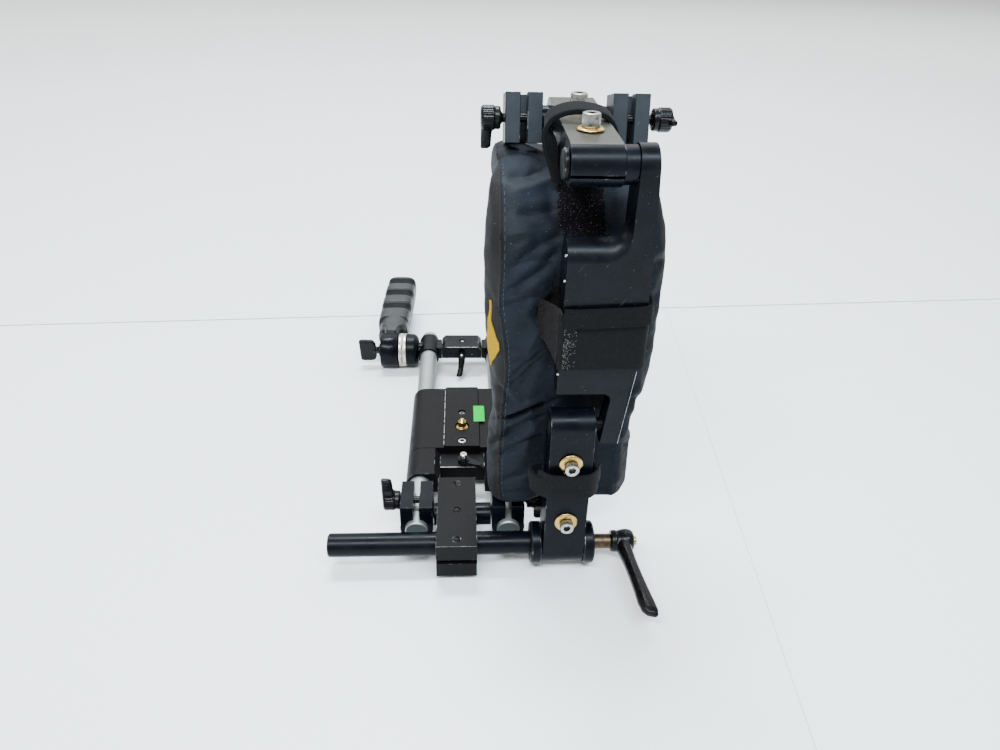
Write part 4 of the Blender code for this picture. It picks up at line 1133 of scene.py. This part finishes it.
def make_straps():
    strap("lower_strap_shown",
          [(47.5, 3.6, 55), (42.6, 1.4, 55), (40.9, -3.2, 55.2), (44.6, -9, 55.6),
           (51, -13.2, 56), (57, -14.2, 55.8), (63, -14.3, 55.7), (70, -14.2, 55.8),
           (75.6, -12.8, 56.2), (79.4, -8.6, 56.8), (80.2, -3.4, 57.2), (78, 2.2, 57.4)],
          (-0.1, -0.05, 1), widening(15.5, 0), 2, "lower_strap")
    strap("lower_strap_fold",
          [(44.5, -9.5, 62.5), (51, -14.4, 62.2), (57, -15.6, 62), (66, -15.7, 62),
           (74.5, -14.9, 62.3), (79.4, -10.6, 62.6), (81.6, -5.5, 63)],
          (-0.1, 0, 1), widening(10.4, 0), 1.3, "lower_strap")
    strap("main_strap_shown",
          [(50.4, -10.2, 153.1), (52.5, -11.9, 153.2), (57, -12.1, 153.4), (66, -12.1, 153.5),
           (78, -12.1, 153.8), (89, -12, 154.2), (94.2, -11.8, 154.5), (96.7, -9.4, 154.8),
           (97.3, -2, 155), (97.6, 6, 155), (98.2, 13.5, 155)],
          (0, 0, 1), widening(33, 2.2, 0.25, 0.8), 1.5, "main_strap")
    strap("main_strap_flap",
          [(52.2, -12.6, 167.6), (58, -13.4, 167.8), (70, -13.5, 168.3), (84, -13.5, 169),
           (93.4, -13.2, 169.6), (97.6, -10.8, 170), (98.8, -3, 170.2), (99.2, 5, 170.2)],
          (0, 0.12, 1), widening(10.4, 0), 1.4, "main_strap")
    tongue = strap("main_strap_tongue",
                   [(41.5, 12.5, 156), (45.5, 8.5, 155.6), (48.2, 2, 155), (50.4, -5, 154.3),
                    (51.2, -10, 153.6)],
                   (0, 0, 1), widening(23, 9.5, 0.1, 0.9), 1.6, "main_strap")
    tongue.data.materials[0] = LOOP_DULL
    strap("top_strap_shown",
          [(49.4, 33.5, 224), (48.6, 35.5, 229), (47.2, 38, 236), (45.4, 40, 243.5),
           (44, 41.5, 249.5), (45.6, 42.2, 255.2), (51, 42.5, 258.4), (58, 42.5, 259.8),
           (66, 42.5, 259.4), (74.2, 42.3, 257), (78.8, 42, 250.5), (80.2, 41, 240),
           (81, 39, 228)],
          top_strap_across, widening(4, 9.4, 0.02, 0.34), 3, "top_strap")


def make_strap_stitches():
    """Frayed, uneven stitching that fixes the main strap's left end."""
    draw = random.Random(7)
    bm = bmesh.new()
    for _ in range(190):
        x = 52.8 + 6.6 * draw.random() ** 1.3
        z = 138 + 31 * draw.random()
        turn = math.pi * draw.random()
        reach = 0.16 + 0.24 * draw.random()
        half = Vector((math.cos(turn), 0, math.sin(turn))) * reach
        middle = Vector((x, -12.85, z))
        tube(bm, [middle - half, middle + Vector((0, -0.12, 0)), middle + half], 0.12, 4)
    add_to("main_strap", "main_strap_stitches", bm, [THREAD_PALE], sharp=80)


# ---- small things

def plate_top(x):
    """Height of the base plate's top face at an X."""
    plate = frame["nodes"]["base_plate"]
    tree = BVHTree.FromObject(plate, bpy.context.evaluated_depsgraph_get())
    hit, _, _, _ = tree.ray_cast(rig(x, 120, 60), Vector((0, 0, -1)))
    return (hit.z - ORIGIN.z) / MM


def make_sticker():
    """Green label on the plate's raised rail."""
    bm = bmesh.new()
    rise = plate_top(9) + 0.3
    rows = []
    for i in range(13):
        x = 9 + 8.4 * i / 12
        near, far = 118.4 + 0.02 * i, 139.8 - 0.06 * max(i - 9, 0) ** 2
        rows.append([bm.verts.new((x, near + (far - near) * j / 8, rise)) for j in range(9)])
    join_grid(bm, rows)
    for part in bmesh.ops.extrude_face_region(bm, geom=bm.faces[:])["geom"]:
        if isinstance(part, bmesh.types.BMVert):
            part.co.z -= 0.22
    add_to("base_plate", "plate_sticker", bm, [STICKER_GREEN], 30)


def make_plate_line():
    """Dashes rubbed bright along the plate's left rail."""
    bm = bmesh.new()
    draw = random.Random(3)
    rise = plate_top(-13.5)
    y = 92
    while y < 162:
        run = 2 + 9 * draw.random()
        tube(bm, [Vector((-13.5, at, rise)) for at in (y, y + run / 2, min(y + run, 165))],
             0.22, 6)
        y += run + 0.8 + 2.4 * draw.random()
    add_to("base_plate", "plate_rub_line", bm, STEEL[:1])


def make_set_screws():
    """Bright cup points of the set screws in the middle link's left side."""
    bm = bmesh.new()
    rows = [(0, 0.3), (0, 0.5), (0.25, 0.72), (1.2, 0.72)]
    for z, y in ((199, -5), (186, -6.5), (131, -6.5)):
        lathe((51.35, y, z), (1, 0, 0), rows, 24, bm)
    add_to("mid_link", "mid_link_set_screws", bm, STEEL)


def make_lower_pin():
    """Hinge pin with nearly flush heads, in near-black rubber as painted shade where it sits
    between link and leg.
    """
    start = 49.7
    length = rig_box("lower_hinge_pin")[1].x - start
    rows = [(0, 5.6), (0.35, 6.1), (0.7, 6.1), (0.75, 3.9), (length - 2.6, 3.9),
            (length - 2.5, 5), (length - 0.5, 5.2), (length, 4.6)]
    show("lower_hinge_pin", lathe((start, 0, 93), (1, 0, 0), rows, 64), [PAINTED_SHADE_DARK])


def bright_edge_line(name, node, start, end, radius, run=5):
    """Bright steel dashes along an edge."""
    bm = bmesh.new()
    draw = random.Random(11)
    start, end = Vector(start), Vector(end)
    length = (end - start).length
    way = (end - start) / length
    at = 0
    while at < length - 0.5:
        stop = min(at + run * (0.5 + draw.random()), length)
        tube(bm, [start + way * a for a in (at, (at + stop) / 2, stop)], radius, 6)
        at = stop + 0.4 * (0.5 + draw.random())
    add_to(node, name, bm, STEEL[:1])


def make_bright_edge_lines():
    bright_edge_line("lock_deck_line", "base_lock_body", (-15.6, 70.9, 5), (12, 70.9, 5), 0.26)
    # Painted highlight along the accessory block's top front edge.
    bright_edge_line("accessory_painted_highlight_line", "accessory_block", (-13.5, 236.98, 9.85), (14, 236.98, 9.85),
             0.22)
    bright_edge_line("link_leg_line", "mid_link", (94.2, -10.2, 134.5), (88.8, -10.2, 86), 0.07, 9)
    # Bare metal rubbed through along the offset block's front top edge.
    bright_edge_line("block_edge_line", "offset_block", (-16.2, -15.85, 12.8), (8.7, -15.85, 12.8),
             0.2, 3)


def make_countersink():
    """Painted shade and highlight in the tapped hole on the rear block: a near-black cone, and a
    bright steel disc as a painted glint.
    """
    rows = [(0, 1.9), (0.72, 3.9), (0.66, 4.1), (0, 4.1)]
    bm = lathe((0, 250, 9.4), (0, 0, 1), rows, 48)
    add_to("accessory_block", "accessory_countersink_shade", bm, [PAINTED_SHADE_DARK], 60)
    bm = lathe((0.6, 249.2, 9.3), (0, 0, 1), [(0, 1.3), (0.35, 1.3), (0.5, 0.9)], 24)
    add_to("accessory_block", "accessory_glint", bm, [SCREW_STEEL], 60)


# ---- camera, stage, lights

def make_camera():
    data = bpy.data.cameras.new("camera")
    data.lens = 26.4
    data.sensor_width = 36
    data.clip_start = 0.01
    data.clip_end = 50
    camera = new_object("camera", data)
    camera.location = rig(-0.1, -343.9, 338.8)
    camera.rotation_euler = [math.radians(a) for a in (58.35, -1.38, -2.66)]
    bpy.context.scene.camera = camera


def make_floor():
    paint = Paint("floor", (0.85, 0.885, 0.9), 0, 0.45)
    paint.fleck(160, 3, 0.4, 0.7, 0.5, (0.835, 0.862, 0.872))
    bm = bmesh.new()
    bmesh.ops.create_circle(bm, cap_ends=True, segments=96, radius=6)
    floor = new_object("floor", new_mesh("floor", bm, [paint.material]))
    floor.location.z = -0.0005


def floor_line(name, start, end, width, colour):
    """Thin straight line of another colour on the pale table."""
    start, end = rig(*start, -15.6), rig(*end, -15.6)
    side = (end - start).cross(Vector((0, 0, 1))).normalized() * width * MM / 2
    bm = bmesh.new()
    bm.faces.new([bm.verts.new(co) for co in (start - side, start + side, end + side, end - side)])
    new_object(name, new_mesh(name, bm, [Paint(name, colour, 0, 0.7).material]))


def area_light(name, place, target, size, power, colour):
    data = bpy.data.lights.new(name, "AREA")
    data.shape = "RECTANGLE"
    data.size, data.size_y = size
    data.energy = power
    data.color = colour
    light = new_object(name, data)
    light.location = rig(*place)
    aim = rig(*target) - light.location
    light.rotation_euler = aim.to_track_quat("-Z", "Y").to_euler()


def make_lights():
    world = bpy.data.worlds.new("studio")
    world.use_nodes = True
    background = world.node_tree.nodes["Background"]
    background.inputs["Color"].default_value = (1, 0.975, 0.93, 1)
    background.inputs["Strength"].default_value = 0.775
    bpy.context.scene.world = world
    rig_middle = (20, 60, 100)
    area_light("key", (-320, -640, 1150), rig_middle, (0.85, 0.15), 24.5,
               (0.94, 0.98, 1))
    area_light("strip", (330, -560, 1150), rig_middle, (0.8, 0.06), 18,
               (0.7, 0.86, 1))
    area_light("far", (0, 2500, 1700), (0, 2500, 0), (6, 3), 142,
               (0.97, 0.99, 1))
    area_light("overhead", (-160, 900, 1950), (0, 200, 0), (0.9, 0.22), 68,
               (0.8, 0.92, 1))


# ---- the whole picture

make_camera()
make_floor()
floor_line("floor_joint", (-1400, 272), (1500, 446), 1.1, (0.36, 0.37, 0.37))
floor_line("floor_crease", (224, 380), (170, -245), 0.4, (0.6, 0.62, 0.62))
make_lights()

make_knob("front_left_knob", -1, FRONT_SCREW_AT, (-0.15, 1), 2, 0, 1.18)
make_knob("front_right_knob", 1, FRONT_SCREW_AT, (0, -1))
make_knob("top_left_knob", -1, TOP_SCREW_AT, (0, -1))
make_knob("top_right_knob", 1, TOP_SCREW_AT, (-1, 0.03), 0, -2.2, 0.6)
make_ratchet_lever()
make_rear_lever()
make_thumbscrew()
for screw in ("lower_lower_screw", "lower_upper_screw"):
    make_cap_screw(screw, (0, 1, 0), 4.2, 4.2, 2.3, 2.6, 11, 1.8)
for screw in ("top_lower_screw", "top_upper_screw"):
    make_cap_screw(screw, (0, 0, -1), 4.6, 6.6, 2.5, 2.6, 10.6)
make_cap_screw("plate_cap_screw", (0, 0, -1), 3.1, 2.6, 1.5, 1.6, 2.5)
make_cap_screw("plate_lock_screw", (0, 0, -1), 2.4, 2, 1.2, 1.2, 3)
make_rosette_ring()
make_grip_sleeve()
make_grip_core()
make_block_threads()
make_sticker()
make_plate_line()
make_set_screws()
make_lower_pin()
make_bright_edge_lines()
make_countersink()

pad = make_pad()
pad_tree = BVHTree.FromObject(pad, bpy.context.evaluated_depsgraph_get())
pad_lower = half_pad(pad, "pad_cover_lower", False)
pad_upper = half_pad(pad, "pad_cover_upper", True)
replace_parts(pad_lower, "pad_lower", "pad_middle")
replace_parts(pad_upper, "pad_upper")
bend_with(pad_lower, False)
bend_with(pad_upper, True)
bpy.data.objects.remove(pad)
make_piping(pad_tree, False)
make_piping(pad_tree, True)
make_patch(pad_tree)
make_straps()
make_strap_stitches()

replaced = {name for obj in bpy.data.objects for name in obj.get("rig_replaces", [])}
for node_name in sorted(set(frame["nodes"]) - replaced):
    carry(node_name)
